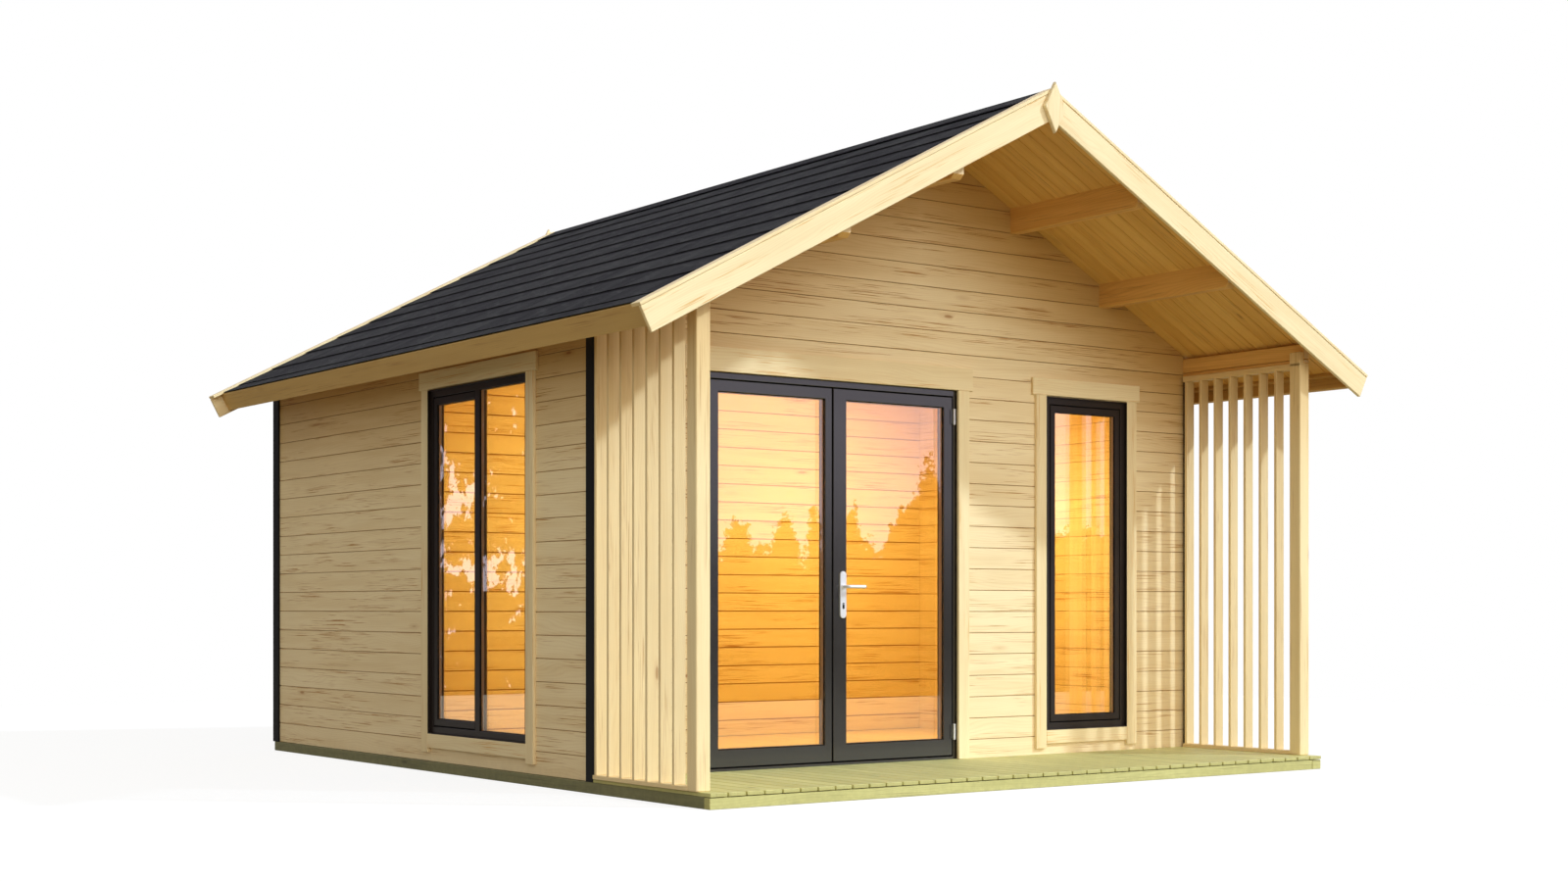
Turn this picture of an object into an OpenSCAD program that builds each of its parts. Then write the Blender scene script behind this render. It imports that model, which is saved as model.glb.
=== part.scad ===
/* [Base and floor] */
// Width of the base, from side to side
base_w = 4000; // [3900:10:4100]
// Depth of the base, from the porch edge to the back
base_d = 4776; // [4700:2:4800]
// Height of the bearers under the boards
base_h = 54; // [45:1:70]
// Width of a bearer
bearer_w = 45; // [40:1:60]
// Thickness of the deck and floor boards
board_t = 17; // [15:1:28]
// Depth of the porch, from the base's front edge to the front wall
porch_d = 980; // [960:5:1000]

/* [Log walls] */
// Thickness of a log
wall_t = 44; // [40:1:50]
// Height of the whole logs, under the gable
log_top = 2222; // [2216:1:2230]
// Set-back of the side walls from the base's sides
wall_inset = 12; // [8:1:16]
// How far the back wall reaches past the base
back_drip = 12; // [0:1:20]
// Thickness of the corner boards
trim_t = 12; // [8:1:12]
// Width of the corner boards
trim_w = 80; // [60:1:100]
// Width of the corner boards in front of the front wall's ends
trim_lap = 30; // [20:1:44]

/* [Partition] */
// Front face of the wall between the two rooms, from the base's front edge
partition_y = 3340; // [3200:10:3500]
// Centre line of its doorway, from the middle of the house
pass_x = -640; // [-700:10:-560]
// Width of its doorway
pass_w = 800; // [700:10:900]
// Top of its doorway
pass_top = 2051; // [1950:1:2100]

/* [Roof] */
// Height of the bargeboards' top edge at the ridge
ridge_z = 3405; // [3390:1:3420]
// Rise of the roof over its run
slope = 0.525; // [0.52:0.001:0.53]
// Half width of the roof, to the bargeboards' lower ends
roof_half = 2372; // [2340:1:2400]
// How far the bargeboards reach ahead of the base
roof_front = 22; // [10:1:40]
// Depth of the roof, from bargeboard face to bargeboard face
roof_d = 4922; // [4880:1:4960]
// Height of a bargeboard, square to the slope
barge_h = 139; // [120:1:150]
// Thickness of a bargeboard
barge_t = 22; // [16:1:28]
// Width of the cover board on top of a bargeboard
cover_w = 74; // [50:1:90]
// Thickness of the cover board
cover_t = 16; // [14:1:18]
// Thickness of the roof boards
roof_t = 15; // [14:1:20]
// Thickness of the shingles
shingle_t = 4; // [3:1:6]
// Height of an eave board
eave_h = 108; // [90:1:120]
// Thickness of an eave board
eave_t = 20; // [16:1:24]
// Height of a finial
finial_h = 250; // [230:1:260]
// Width of a finial
finial_w = 138; // [120:1:160]
// Height of a finial's tip above the ridge
finial_up = 25; // [20:1:40]
// Thickness of a finial
finial_t = 20; // [16:1:24]

/* [Purlins] */
// Width of a purlin
purlin_w = 64; // [50:1:70]
// Distance from the ridge to the upper and lower right purlins
purlin_right = [660, 1328]; // [500:1:1400]
// Distance from the ridge to the upper and lower left purlins
purlin_left = [562, 1240]; // [500:1:1400]
// Heights of the undersides of the upper and lower purlins
purlin_z = [2903, 2557]; // [2500:1:2950]
// How far the purlins' front ends stand behind the bargeboards' faces
purlin_back = 50; // [40:1:100]
// Chamfer under a purlin's end
purlin_chamfer = 20; // [16:1:60]

/* [Porch] */
// Side of the square posts
post_w = 75; // [70:1:80]
// How far the posts stand out past the base's sides
post_out = 11; // [0:1:12]
// Front face of the posts, from the base's front edge
post_y = 89; // [60:1:120]
// Height of the step in the post that carries the plate beam
post_z = 2212; // [2200:1:2216]
// Height of the post's tongue beside the plate beam
tongue_z = 2270; // [2250:1:2290]
// Thickness of a plate beam
beam_t = 44; // [40:1:50]
// Number of fins in each screen
fins = 7; // [5:1:7]
// Distance from a post to the first fin
fin_first = 102; // [60:1:110]
// Spacing of the fins
fin_pitch = 111; // [100:1:112]
// Thickness of a fin
fin_t = 18; // [14:1:24]
// Width of a fin
fin_w = 62; // [50:1:66]
// Height of the screens' bottom rails
rail_h = 20; // [16:1:30]
// Height of the screens' top rails
top_rail_h = 32; // [20:1:40]

/* [Double door] */
// Centre line of the door, from the middle of the house
door_x = -562; // [-570:1:-550]
// Width of the door frame's face, from side to side
door_w = 1606; // [1590:1:1620]
// Top of the door frame's face
door_top = 2026; // [2010:1:2034]
// Width of the door frame's face at the jambs
jamb_w = 18; // [16:1:20]
// Width of the door frame's face over the leaves
head_w = 29; // [18:1:34]
// Height of the door sill
sill_h = 14; // [12:1:18]
// Width of the set-back part of the door frame, beside its face
door_step = 23; // [10:1:30]
// Depth of the door frame's face behind the wall's
door_in = 6; // [0:1:12]
// Gap round the leaves
door_gap = 6; // [5:1:8]
// Gap between the two leaves
seam_w = 10; // [10:1:12]
// Place of that gap, from the door's centre line
seam_x = -18; // [-30:1:0]
// Thickness of a leaf
leaf_t = 55; // [44:1:58]
// Width of a leaf's stile on the hinge side
hinge_stile = 58; // [50:1:80]
// Widths of the two meeting stiles, on the left and on the right leaf
meeting_stile = [43, 84]; // [40:1:100]
// Height of a leaf's bottom rail
bottom_rail = 86; // [70:1:120]
// Height of a leaf's top rail
top_rail = 56; // [50:1:90]
// Thickness of the double glazing
glass_t = 24; // [20:1:28]
// Depth of the glazing behind a leaf's face
glass_in = 14; // [10:1:24]

/* [Handle and hinges] */
// Height of the lever above the ground
lever_z = 982; // [950:1:1050]
// Distance of the lever's spindle from the leaf's edge
lever_in = 58; // [45:1:60]
// Length of the lever
lever_l = 116; // [100:1:140]
// Width of the handle plates
plate_w = 40; // [32:1:44]
// Height of the handle plates
plate_h = 240; // [200:1:250]
// How far the handle plates reach below the lever
plate_drop = 161; // [150:1:170]
// Thickness of the handle plates
plate_t = 8; // [6:1:10]
// Radius of a hinge barrel
barrel_r = 7; // [6:0.5:7]
// Length of a hinge barrel
barrel_l = 84; // [70:1:100]

/* [Windows] */
// Centre line of the front window, from the middle of the house
win_x = 1188; // [1170:1:1200]
// Width of the front window's opening
win_w = 617; // [600:1:630]
// Bottom of the window openings
win_z = 203; // [195:1:210]
// Top of the window openings
win_top = 2034; // [2020:1:2040]
// Front edge of the side window's opening, from the base's front edge
side_y = 1618; // [1600:1:1640]
// Width of the side window's opening
side_w = 1070; // [1060:1:1100]
// Centre line of the side window's mullion, from the base's front edge
mullion_y = 2158; // [2140:1:2170]
// Width of the mullion
mullion_w = 56; // [50:1:80]
// Width of a window frame
frame_w = 38; // [30:1:42]
// Width of an opening sash
sash_w = 42; // [36:1:50]
// Depth of a window frame behind the wall's face
frame_d = 50; // [46:1:74]
// Depth of a window's glass behind the wall's face
pane_in = 10; // [8:1:20]
// Width of the flat casings round doors and windows
casing_w = 76; // [60:1:80]
// Thickness of the casings
casing_t = 18; // [14:1:22]
// Height of the boards over the windows
head_h = 94; // [80:1:100]
// Height of the board over the door
door_head_h = 120; // [90:1:130]

/* [Hidden] */

// Colours
lit_pine = [0.93, 0.83, 0.64];
soft_pine = [0.80, 0.62, 0.38];
treated = [0.62, 0.60, 0.40];
felt = [0.20, 0.20, 0.21];
anthracite = [0.22, 0.22, 0.22];
silver = [0.80, 0.80, 0.82];
pane = [0.95, 0.70, 0.40, 0.4];

// Places in the frame: the origin is under the middle of the roof, on the ground
base_y = roof_front - roof_d / 2;
roof_y0 = -roof_d / 2;
roof_y1 = roof_d / 2;
half = base_w / 2;
wall_x = half - wall_inset;
front_y = base_y + porch_d;
back_y = base_y + base_d + back_drip;
part_y = base_y + partition_y;
deck_z = base_h + board_t;
post_x = half + post_out;
trim_proud = 14;
tread_over = 4;
bearers = 11;

// The roof's slope as an angle, and the play between pieces that meet on a slope
tilt = atan(slope);
seat = 0.3;
eave_x = roof_half - 59;
shingle_over = 6;

// Door, with x from its centre line
door_y = front_y + door_in;
door_half = door_w / 2;
door_hole = door_half + door_step;
head_z = door_top + 3;
leaf_half = door_half - jamb_w - door_gap;
leaf_z0 = deck_z + sill_h + door_gap;
leaf_z1 = door_top - head_w - door_gap;
leaf_edge = [seam_x - seam_w / 2, seam_x + seam_w / 2];
pane_x = [
    [hinge_stile - leaf_half, leaf_edge[0] - meeting_stile[0]],
    [leaf_edge[1] + meeting_stile[1], leaf_half - hinge_stile],
];
pane_z = [leaf_z0 + bottom_rail, leaf_z1 - top_rail];
stop = 14;
step_in = 14;
rebate = 12;
hinge_x = leaf_half + 8;
hinge_y = door_y - 8;
hinge_z = [174, 1846];
flap_w = 14;
flap_t = 3;
flap_cut = 4;
lever_x = leaf_edge[1] + lever_in;
lever_out = 46;
spindle_r = 5;
neck_r = 8;
grip_r = 9;
bore_r = 11;

// Windows, as spans of x, y or z
front_win = [win_x - win_w / 2, win_x + win_w / 2];
side_win = [side_y, side_y + side_w];
win_height = [win_z, win_top];
fixed_light = [side_win[0] + frame_w, mullion_y - mullion_w / 2];
side_sash = [mullion_y + mullion_w / 2, side_win[1] - frame_w - sash_w];
sash_in = frame_w + sash_w;
lip = 4;
groove_w = 6;
groove_d = 8;
sill_z = 128;
casing_foot = 103;
head_over = 25;
head_up = 6;

// The span w inside another one
function inside(span, w) = [span[0] + w, span[1] - w];

// Height of the underside of the roof boards, x from the ridge
function under(x) = ridge_z - (cover_t + roof_t + seat) / cos(tilt) - slope * abs(x);

// Box between two corners
module box(a, b) {
    translate(a) cube(b - a);
}

// Outline of a layer of one roof slope, between two depths square to the slope
module slope_layer(x_end, top, bottom) {
    z_end = ridge_z - slope * x_end;
    polygon([
        [0, ridge_z - top / cos(tilt)],
        [x_end - top * sin(tilt), z_end - top * cos(tilt)],
        [x_end - bottom * sin(tilt), z_end - bottom * cos(tilt)],
        [0, ridge_z - bottom / cos(tilt)],
    ]);
}

// Extrude an outline in X and Z along Y, from y0 to y1
module along_y(y0, y1) {
    translate([0, y1, 0]) rotate([90, 0, 0]) linear_extrude(height = y1 - y0) children();
}

// The same thing on the right (1) or on the left (-1) of the house
module side(s) {
    if (s > 0) children();
    else mirror([1, 0, 0]) children();
}

module base_frame() {
    bay = (base_d - bearer_w) / (bearers - 1);
    color(treated)
    union() {
        for (i = [0:bearers - 1])
            box([-half, base_y + i * bay, 0], [half, base_y + i * bay + bearer_w, base_h]);
        for (s = [-1, 1])
            side(s) box([half - bearer_w, base_y, 0], [half, base_y + base_d, base_h]);
    }
}

module porch_deck() {
    color(treated)
    union() {
        box([-half - 3, base_y - tread_over, base_h], [half + 3, front_y, deck_z]);
        box([door_x - door_hole, front_y - 1, base_h], [door_x + door_hole, front_y + wall_t, deck_z]);
    }
}

module hut_floor() {
    inside = wall_x - wall_t;
    color(lit_pine)
    box([-inside, front_y + wall_t, base_h], [inside, back_y - wall_t, deck_z]);
}

// Log wall parallel to the front, up to the whole logs' top
module cross_wall(x0, x1, y, z0, z1) {
    color(lit_pine) box([x0, y, z0], [x1, y + wall_t, z1]);
}

module front_wall_left() {
    cross_wall(-wall_x, door_x - door_hole, front_y, base_h, log_top);
}

module front_wall_right() {
    color(lit_pine)
    difference() {
        box([door_x + door_hole, front_y, base_h], [wall_x, front_y + wall_t, log_top]);
        box([win_x - win_w / 2, front_y - 1, win_z], [win_x + win_w / 2, front_y + wall_t + 1, win_top]);
    }
}

module front_wall_over_door() {
    cross_wall(door_x - door_hole, door_x + door_hole, front_y, head_z, log_top);
}

// Outline of a gable from z up to the roof boards, w wide each way, with the purlins' pockets
module gable_outline(w, z) {
    difference() {
        polygon([[-w, z], [w, z], [w, under(w)], [0, under(0)], [-w, under(w)]]);
        for (i = [0, 1]) {
            purlin_outline(purlin_right[i], purlin_z[i]);
            mirror([1, 0]) purlin_outline(purlin_left[i], purlin_z[i]);
        }
    }
}

module front_gable() {
    color(lit_pine) along_y(front_y, front_y + wall_t) gable_outline(post_x, log_top);
}

module back_wall() {
    color(lit_pine) along_y(back_y - wall_t, back_y) gable_outline(wall_x, base_h);
}

// Side wall with its top bevelled to the roof
module side_wall() {
    color(lit_pine)
    along_y(front_y + wall_t, back_y - wall_t)
    polygon([
        [wall_x - wall_t, base_h], [wall_x, base_h],
        [wall_x, under(wall_x)], [wall_x - wall_t, under(wall_x - wall_t)],
    ]);
}

module left_wall() {
    color(lit_pine)
    difference() {
        side(-1) side_wall();
        box([-wall_x - 1, base_y + side_y, win_z],
            [-wall_x + wall_t + 1, base_y + side_y + side_w, win_top]);
    }
}

module right_wall() {
    side_wall();
}

module partition_sides() {
    cross_wall(-wall_x + wall_t, pass_x - pass_w / 2, part_y, deck_z, pass_top);
    cross_wall(pass_x + pass_w / 2, wall_x - wall_t, part_y, deck_z, pass_top);
}

module partition_top() {
    color(lit_pine) along_y(part_y, part_y + wall_t) gable_outline(wall_x - wall_t, pass_top);
}

module corner_trims() {
    color([0.06, 0.06, 0.06])
    for (s = [-1, 1]) side(s) {
        union() {
            box([wall_x, front_y, base_h], [wall_x + trim_t, front_y + trim_w - trim_proud, post_z]);
            box([wall_x, front_y - trim_proud, deck_z], [wall_x + trim_t, front_y + 1, post_z]);
            box([wall_x + trim_t - trim_lap, front_y - trim_proud, deck_z], [wall_x + 1, front_y, post_z]);
        }
        box([wall_x, back_y + trim_proud - trim_w, base_h], [wall_x + trim_t, back_y + trim_proud, post_z]);
    }
}

// Post with a step that carries the plate beam, and a tongue beside it
module post() {
    y = base_y + post_y;
    color(lit_pine)
    union() {
        box([post_x - post_w, y, deck_z], [post_x, y + post_w, post_z]);
        box([post_x - post_w, y, post_z - 1], [post_x - beam_t, y + post_w, tongue_z]);
    }
}

module post_left() {
    side(-1) post();
}

module post_right() {
    side(1) post();
}

// Plate beam from the front wall to the post, bevelled to the roof
module plate_beam() {
    x0 = post_x - beam_t;
    color(soft_pine)
    along_y(base_y + post_y, front_y)
    polygon([[x0, post_z], [post_x, post_z], [post_x, under(post_x)], [x0, under(x0)]]);
}

module plate_beam_left() {
    side(-1) plate_beam();
}

module plate_beam_right() {
    side(1) plate_beam();
}

// Screen of upright fins between a bottom rail and a top rail
module screen() {
    y0 = base_y + post_y + post_w;
    y1 = front_y - trim_proud;
    rail_z = deck_z + rail_h;
    color(lit_pine)
    union() {
        box([post_x - fin_w, y0, deck_z], [post_x, y1, rail_z]);
        box([post_x - fin_w, y0, post_z - top_rail_h], [post_x, y1, post_z]);
        for (i = [0:fins - 1])
            translate([post_x - fin_w, y0 + fin_first + i * fin_pitch, rail_z - 1])
            cube([fin_w, fin_t, post_z - top_rail_h - rail_z + 2]);
    }
}

module screen_left() {
    side(-1) screen();
}

module screen_right() {
    side(1) screen();
}

// Outline of a purlin, x from the ridge, from its underside up to the roof boards
module purlin_outline(x, z) {
    x0 = x - purlin_w / 2;
    x1 = x + purlin_w / 2;
    polygon([[x0, z], [x1, z], [x1, under(x1)], [x0, under(x0)]]);
}

// Purlin with its lower end edges chamfered
module purlin(x, z) {
    y0 = roof_y0 + purlin_back;
    y1 = roof_y1 - purlin_back;
    c = purlin_chamfer;
    color(soft_pine)
    difference() {
        along_y(y0, y1) purlin_outline(x, z);
        translate([x - purlin_w, 0, z])
        rotate([90, 0, 90])
        linear_extrude(height = 2 * purlin_w)
        union() {
            polygon([[y0 - 1, -1], [y0 + c + 1, -1], [y0 - 1, c + 1]]);
            polygon([[y1 + 1, -1], [y1 - c - 1, -1], [y1 + 1, c + 1]]);
        }
    }
}

module purlins_left() {
    for (i = [0, 1])
        side(-1) purlin(purlin_left[i], purlin_z[i]);
}

module purlins_right() {
    for (i = [0, 1])
        purlin(purlin_right[i], purlin_z[i]);
}

module roof_boards() {
    color(soft_pine)
    along_y(roof_y0 + barge_t, roof_y1 - barge_t)
    slope_layer(eave_x - (eave_t + seat) * cos(tilt), cover_t + seat, cover_t + roof_t);
}

module roof_boards_left() {
    side(-1) roof_boards();
}

module roof_boards_right() {
    side(1) roof_boards();
}

module shingles() {
    color(felt)
    along_y(roof_y0 + cover_w, roof_y1 - cover_w)
    slope_layer(eave_x + shingle_over, cover_t - shingle_t, cover_t);
}

module shingles_left() {
    side(-1) shingles();
}

module shingles_right() {
    side(1) shingles();
}

// A pair of bargeboards with their cover boards, for the front
module barge_pair() {
    color(lit_pine)
    for (s = [-1, 1]) side(s)
    union() {
        along_y(roof_y0, roof_y0 + barge_t) slope_layer(roof_half, 0, barge_h);
        along_y(roof_y0, roof_y0 + cover_w) slope_layer(roof_half, 0, cover_t);
    }
}

module bargeboards_front() {
    union() barge_pair();
}

module bargeboards_back() {
    mirror([0, 1, 0]) union() barge_pair();
}

// Lozenges over the joints of the bargeboards
module finials() {
    tip = ridge_z + finial_up;
    color(lit_pine)
    for (y = [roof_y0 - finial_t, roof_y1])
        along_y(y, y + finial_t)
        polygon([
            [0, tip], [finial_w / 2, tip - finial_h / 2],
            [0, tip - finial_h], [-finial_w / 2, tip - finial_h / 2],
        ]);
}

// Board across the ends of the roof boards, square to the slope
module eave_board() {
    top = cover_t + seat;
    z_end = ridge_z - slope * eave_x;
    foot = top + eave_h;
    back = [eave_t * cos(tilt), -eave_t * sin(tilt)];
    outer_top = [eave_x - top * sin(tilt), z_end - top * cos(tilt)];
    outer_foot = [eave_x - foot * sin(tilt), z_end - foot * cos(tilt)];
    color(lit_pine)
    along_y(roof_y0 + barge_t, roof_y1 - barge_t)
    polygon([outer_top, outer_foot, outer_foot - back, outer_top - back]);
}

module eave_boards() {
    for (s = [-1, 1])
        side(s) eave_board();
}

// Door frame: its face, a set-back step that fills the wall's opening, and a stop behind the leaves
module door_frame() {
    x0 = door_x - door_half;
    x1 = door_x + door_half;
    top = door_top - head_w;
    stop_y = door_y + leaf_t + door_gap;
    color(anthracite)
    difference() {
        union() {
            box([x0, door_y, deck_z], [x1, stop_y + stop, door_top]);
            box([door_x - door_hole, door_y + step_in, deck_z], [door_x + door_hole, stop_y + stop, head_z]);
        }
        box([x0 + jamb_w, door_y - 1, deck_z + sill_h], [x1 - jamb_w, stop_y, top]);
        box([x0 + jamb_w + stop, stop_y - 1, deck_z + sill_h + stop],
            [x1 - jamb_w - stop, stop_y + stop + 1, top - stop]);
    }
}

// Flat casing round an opening in the XZ plane, from the legs' foot up to the top of the opening, with a board h high over it
module casing(x0, x1, foot, top, y, h) {
    union() {
        box([x0 - casing_w, y, foot], [x0, y + casing_t, top + 1]);
        box([x1, y, foot], [x1 + casing_w, y + casing_t, top + 1]);
        box([x0 - casing_w - head_over, y, top], [x1 + casing_w + head_over, y + casing_t, top + h]);
    }
}

module door_casing() {
    color(lit_pine)
    casing(door_x - door_hole, door_x + door_hole, deck_z, head_z, front_y - casing_t, door_head_h);
}

// Pane in the XZ plane, from y on, with its edges in the rebate
module pane_box(x, z, y) {
    box([x[0] - rebate, y, z[0] - rebate], [x[1] + rebate, y + glass_t, z[1] + rebate]);
}

// Glazed opening in the XZ plane: a hole past the faces y0 and y1, and the rebate that holds its pane
module glazing_hole(x, z, y0, y1, pane_y) {
    box([x[0], y0 - 1, z[0]], [x[1], y1 + 1, z[1]]);
    pane_box(x, z, pane_y);
}

// Leaf between two edges, with its pane's opening
module leaf(x0, x1, hole) {
    translate([door_x, 0, 0])
    difference() {
        box([x0, door_y, leaf_z0], [x1, door_y + leaf_t, leaf_z1]);
        glazing_hole(hole, pane_z, door_y, door_y + leaf_t, door_y + glass_in);
    }
}

module leaf_left() {
    color(anthracite) leaf(-leaf_half, leaf_edge[0], pane_x[0]);
}

module leaf_right() {
    color(anthracite)
    difference() {
        leaf(leaf_edge[1], leaf_half, pane_x[1]);
        translate([door_x + lever_x, door_y - 1, lever_z])
        rotate([-90, 0, 0])
        cylinder(r = bore_r, h = leaf_t + 2, $fn = 48);
    }
}

module glass_left() {
    color(pane) translate([door_x, 0, 0]) pane_box(pane_x[0], pane_z, door_y + glass_in);
}

module glass_right() {
    color(pane) translate([door_x, 0, 0]) pane_box(pane_x[1], pane_z, door_y + glass_in);
}

// Barrel of a hinge, with the flap that holds it to the leaf
module hinge(s, z) {
    z0 = z + flap_cut;
    z1 = z + barrel_l - flap_cut;
    translate([door_x, 0, 0])
    side(s)
    union() {
        translate([hinge_x, hinge_y, z]) cylinder(r = barrel_r, h = barrel_l, $fn = 40);
        box([leaf_half - flap_w, door_y - flap_t, z0], [leaf_half, door_y, z1]);
        box([leaf_half - 1, hinge_y, z0], [hinge_x, door_y - 1, z1]);
    }
}

module hinges_left() {
    color(silver)
    for (z = hinge_z)
        hinge(-1, z);
}

module hinges_right() {
    color(silver)
    for (z = hinge_z)
        hinge(1, z);
}

// Plate with round ends, from y to y + plate_t
module handle_plate(y) {
    r = plate_w / 2;
    difference() {
        translate([door_x + lever_x, y, lever_z - plate_drop])
        union() {
            translate([-r, 0, r]) cube([plate_w, plate_t, plate_h - plate_w]);
            for (z = [r, plate_h - r])
                translate([0, 0, z]) rotate([-90, 0, 0]) cylinder(r = r, h = plate_t, $fn = 64);
        }
        translate([door_x + lever_x, y - 1, lever_z])
        rotate([-90, 0, 0])
        cylinder(r = bore_r, h = plate_t + 2, $fn = 48);
    }
}

module handle_plates() {
    color(silver)
    for (y = [door_y - plate_t, door_y + leaf_t])
        handle_plate(y);
}

// Levers on both sides of the leaf, on one spindle
module handle_lever() {
    reach = plate_t + lever_out;
    length = leaf_t + 2 * reach;
    color(silver)
    translate([door_x + lever_x, door_y - reach, lever_z])
    rotate([-90, 0, 0])
    union() {
        cylinder(r = spindle_r, h = length, $fn = 32);
        for (z = [0, length - lever_out]) translate([0, 0, z])
            cylinder(r = neck_r, h = lever_out, $fn = 32);
        for (z = [grip_r, length - grip_r]) translate([0, 0, z])
            rotate([0, 90, 0]) cylinder(r = grip_r, h = lever_l, $fn = 32);
    }
}

// Window frame in the XZ plane, the wall's face at y = 0: a thin lip reaches out to the casing's face
module window_frame(x) {
    difference() {
        box([x[0], 1 - casing_t, win_z], [x[1], frame_d, win_top]);
        box([x[0] + lip, -casing_t, win_z + lip], [x[1] - lip, 0, win_top - lip]);
    }
}

// Groove in a frame's face, round an opening sash
module sash_groove(x, z) {
    g = groove_w;
    difference() {
        box([x[0], -1, z[0]], [x[1], groove_d, z[1]]);
        box([x[0] + g, -2, z[0] + g], [x[1] - g, groove_d + 1, z[1] - g]);
    }
}

// Casing of a window in the XZ plane, with a sill board between its legs
module window_casing(x) {
    union() {
        casing(x[0], x[1], casing_foot, win_top + head_up, -casing_t, head_h);
        box([x[0] - 1, -casing_t, sill_z], [x[1] + 1, 0, win_z]);
    }
}

// Put what is drawn in the XZ plane on the front wall
module on_front_wall() {
    translate([0, front_y, 0]) children();
}

// Put what is drawn in the XZ plane on the left wall, where x becomes the depth from the base's front edge
module on_left_wall() {
    translate([-wall_x, base_y, 0]) rotate([0, 0, -90]) mirror([1, 0, 0]) children();
}

module front_window_frame() {
    color(anthracite)
    on_front_wall()
    difference() {
        window_frame(front_win);
        sash_groove(inside(front_win, frame_w), inside(win_height, frame_w));
        glazing_hole(inside(front_win, sash_in), inside(win_height, sash_in), 0, frame_d, pane_in);
    }
}

module front_window_glass() {
    color(pane) on_front_wall() pane_box(inside(front_win, sash_in), inside(win_height, sash_in), pane_in);
}

module front_window_casing() {
    color(lit_pine) on_front_wall() window_casing(front_win);
}

// The side window: a fixed light in front, and an opening sash behind the mullion
module side_window_frame() {
    sash = [side_sash[0] - groove_w, side_win[1] - frame_w];
    color(anthracite)
    on_left_wall()
    difference() {
        window_frame(side_win);
        sash_groove(sash, inside(win_height, frame_w));
        glazing_hole(fixed_light, inside(win_height, frame_w), 0, frame_d, pane_in);
        glazing_hole(side_sash, inside(win_height, sash_in), 0, frame_d, pane_in);
    }
}

module side_window_glass() {
    color(pane)
    on_left_wall() {
        pane_box(fixed_light, inside(win_height, frame_w), pane_in);
        pane_box(side_sash, inside(win_height, sash_in), pane_in);
    }
}

module side_window_casing() {
    color(lit_pine) on_left_wall() window_casing(side_win);
}

base_frame();
porch_deck();
hut_floor();
front_wall_left();
front_wall_right();
front_wall_over_door();
front_gable();
back_wall();
left_wall();
right_wall();
partition_sides();
partition_top();
corner_trims();
post_left();
post_right();
plate_beam_left();
plate_beam_right();
screen_left();
screen_right();
purlins_left();
purlins_right();
roof_boards_left();
roof_boards_right();
shingles_left();
shingles_right();
bargeboards_front();
bargeboards_back();
finials();
eave_boards();
door_frame();
door_casing();
leaf_left();
leaf_right();
glass_left();
glass_right();
hinges_left();
hinges_right();
handle_plates();
handle_lever();
front_window_frame();
front_window_glass();
front_window_casing();
side_window_frame();
side_window_glass();
side_window_casing();
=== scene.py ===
"""Wooden garden house with a porch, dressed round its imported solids.

Each sub-assembly is a class that builds its own boards, panes and fittings as numpy surfaces,
in metres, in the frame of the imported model, and dresses them with node-based finishes.
"""

import sys

import logging
import math
from dataclasses import dataclass, replace
from enum import Enum
from typing import Any, Callable, Sequence

import bpy
import numpy as np
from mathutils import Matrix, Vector


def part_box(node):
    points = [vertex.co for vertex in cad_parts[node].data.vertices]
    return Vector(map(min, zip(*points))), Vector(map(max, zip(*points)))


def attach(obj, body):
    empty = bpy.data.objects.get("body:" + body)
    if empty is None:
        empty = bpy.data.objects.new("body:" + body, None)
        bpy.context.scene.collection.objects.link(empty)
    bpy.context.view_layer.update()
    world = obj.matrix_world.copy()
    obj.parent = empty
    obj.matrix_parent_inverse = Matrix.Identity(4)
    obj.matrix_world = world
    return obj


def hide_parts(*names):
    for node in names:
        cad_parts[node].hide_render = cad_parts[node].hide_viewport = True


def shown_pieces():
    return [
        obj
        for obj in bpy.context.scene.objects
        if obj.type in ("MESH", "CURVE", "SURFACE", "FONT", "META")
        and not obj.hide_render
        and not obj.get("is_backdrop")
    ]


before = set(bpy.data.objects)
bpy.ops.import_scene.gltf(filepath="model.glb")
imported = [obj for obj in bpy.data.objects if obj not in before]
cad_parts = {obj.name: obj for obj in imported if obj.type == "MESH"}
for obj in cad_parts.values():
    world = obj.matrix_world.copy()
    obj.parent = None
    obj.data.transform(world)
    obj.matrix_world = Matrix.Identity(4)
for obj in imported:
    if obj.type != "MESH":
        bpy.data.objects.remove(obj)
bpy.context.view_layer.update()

Array = np.ndarray
Colour = tuple[float, float, float]
Ends = tuple[Any, Any]
Rect = tuple[tuple[float, float], tuple[float, float]]
Span = tuple[float, float]

log = logging.getLogger("garden_house")
UNIT = np.eye(3)
SIDES = (("left", -1), ("right", 1))
FIGURE_SHIFT = (7.0, 3.0)
LARGEST_CHAMFER = 0.8
ROUND_POINTS = 24


class Grain(Enum):
    """Direction in which a board's grain runs."""

    X = 0
    Y = 1
    Z = 2


class Face(Enum):
    """Wall that an opening is in."""

    FRONT = "front"
    LEFT = "left"


def spans(node: str) -> tuple[Span, Span, Span]:
    """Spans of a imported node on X, Y and Z, in metres."""
    x, y, z = zip(*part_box(node))
    return x, y, z


def inside(span: Ends, less: float) -> Ends:
    """A span made shorter at both ends, or longer where less is below zero."""
    return span[0] + less, span[1] - less


# ---------------------------------------------------------------- surfaces


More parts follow.
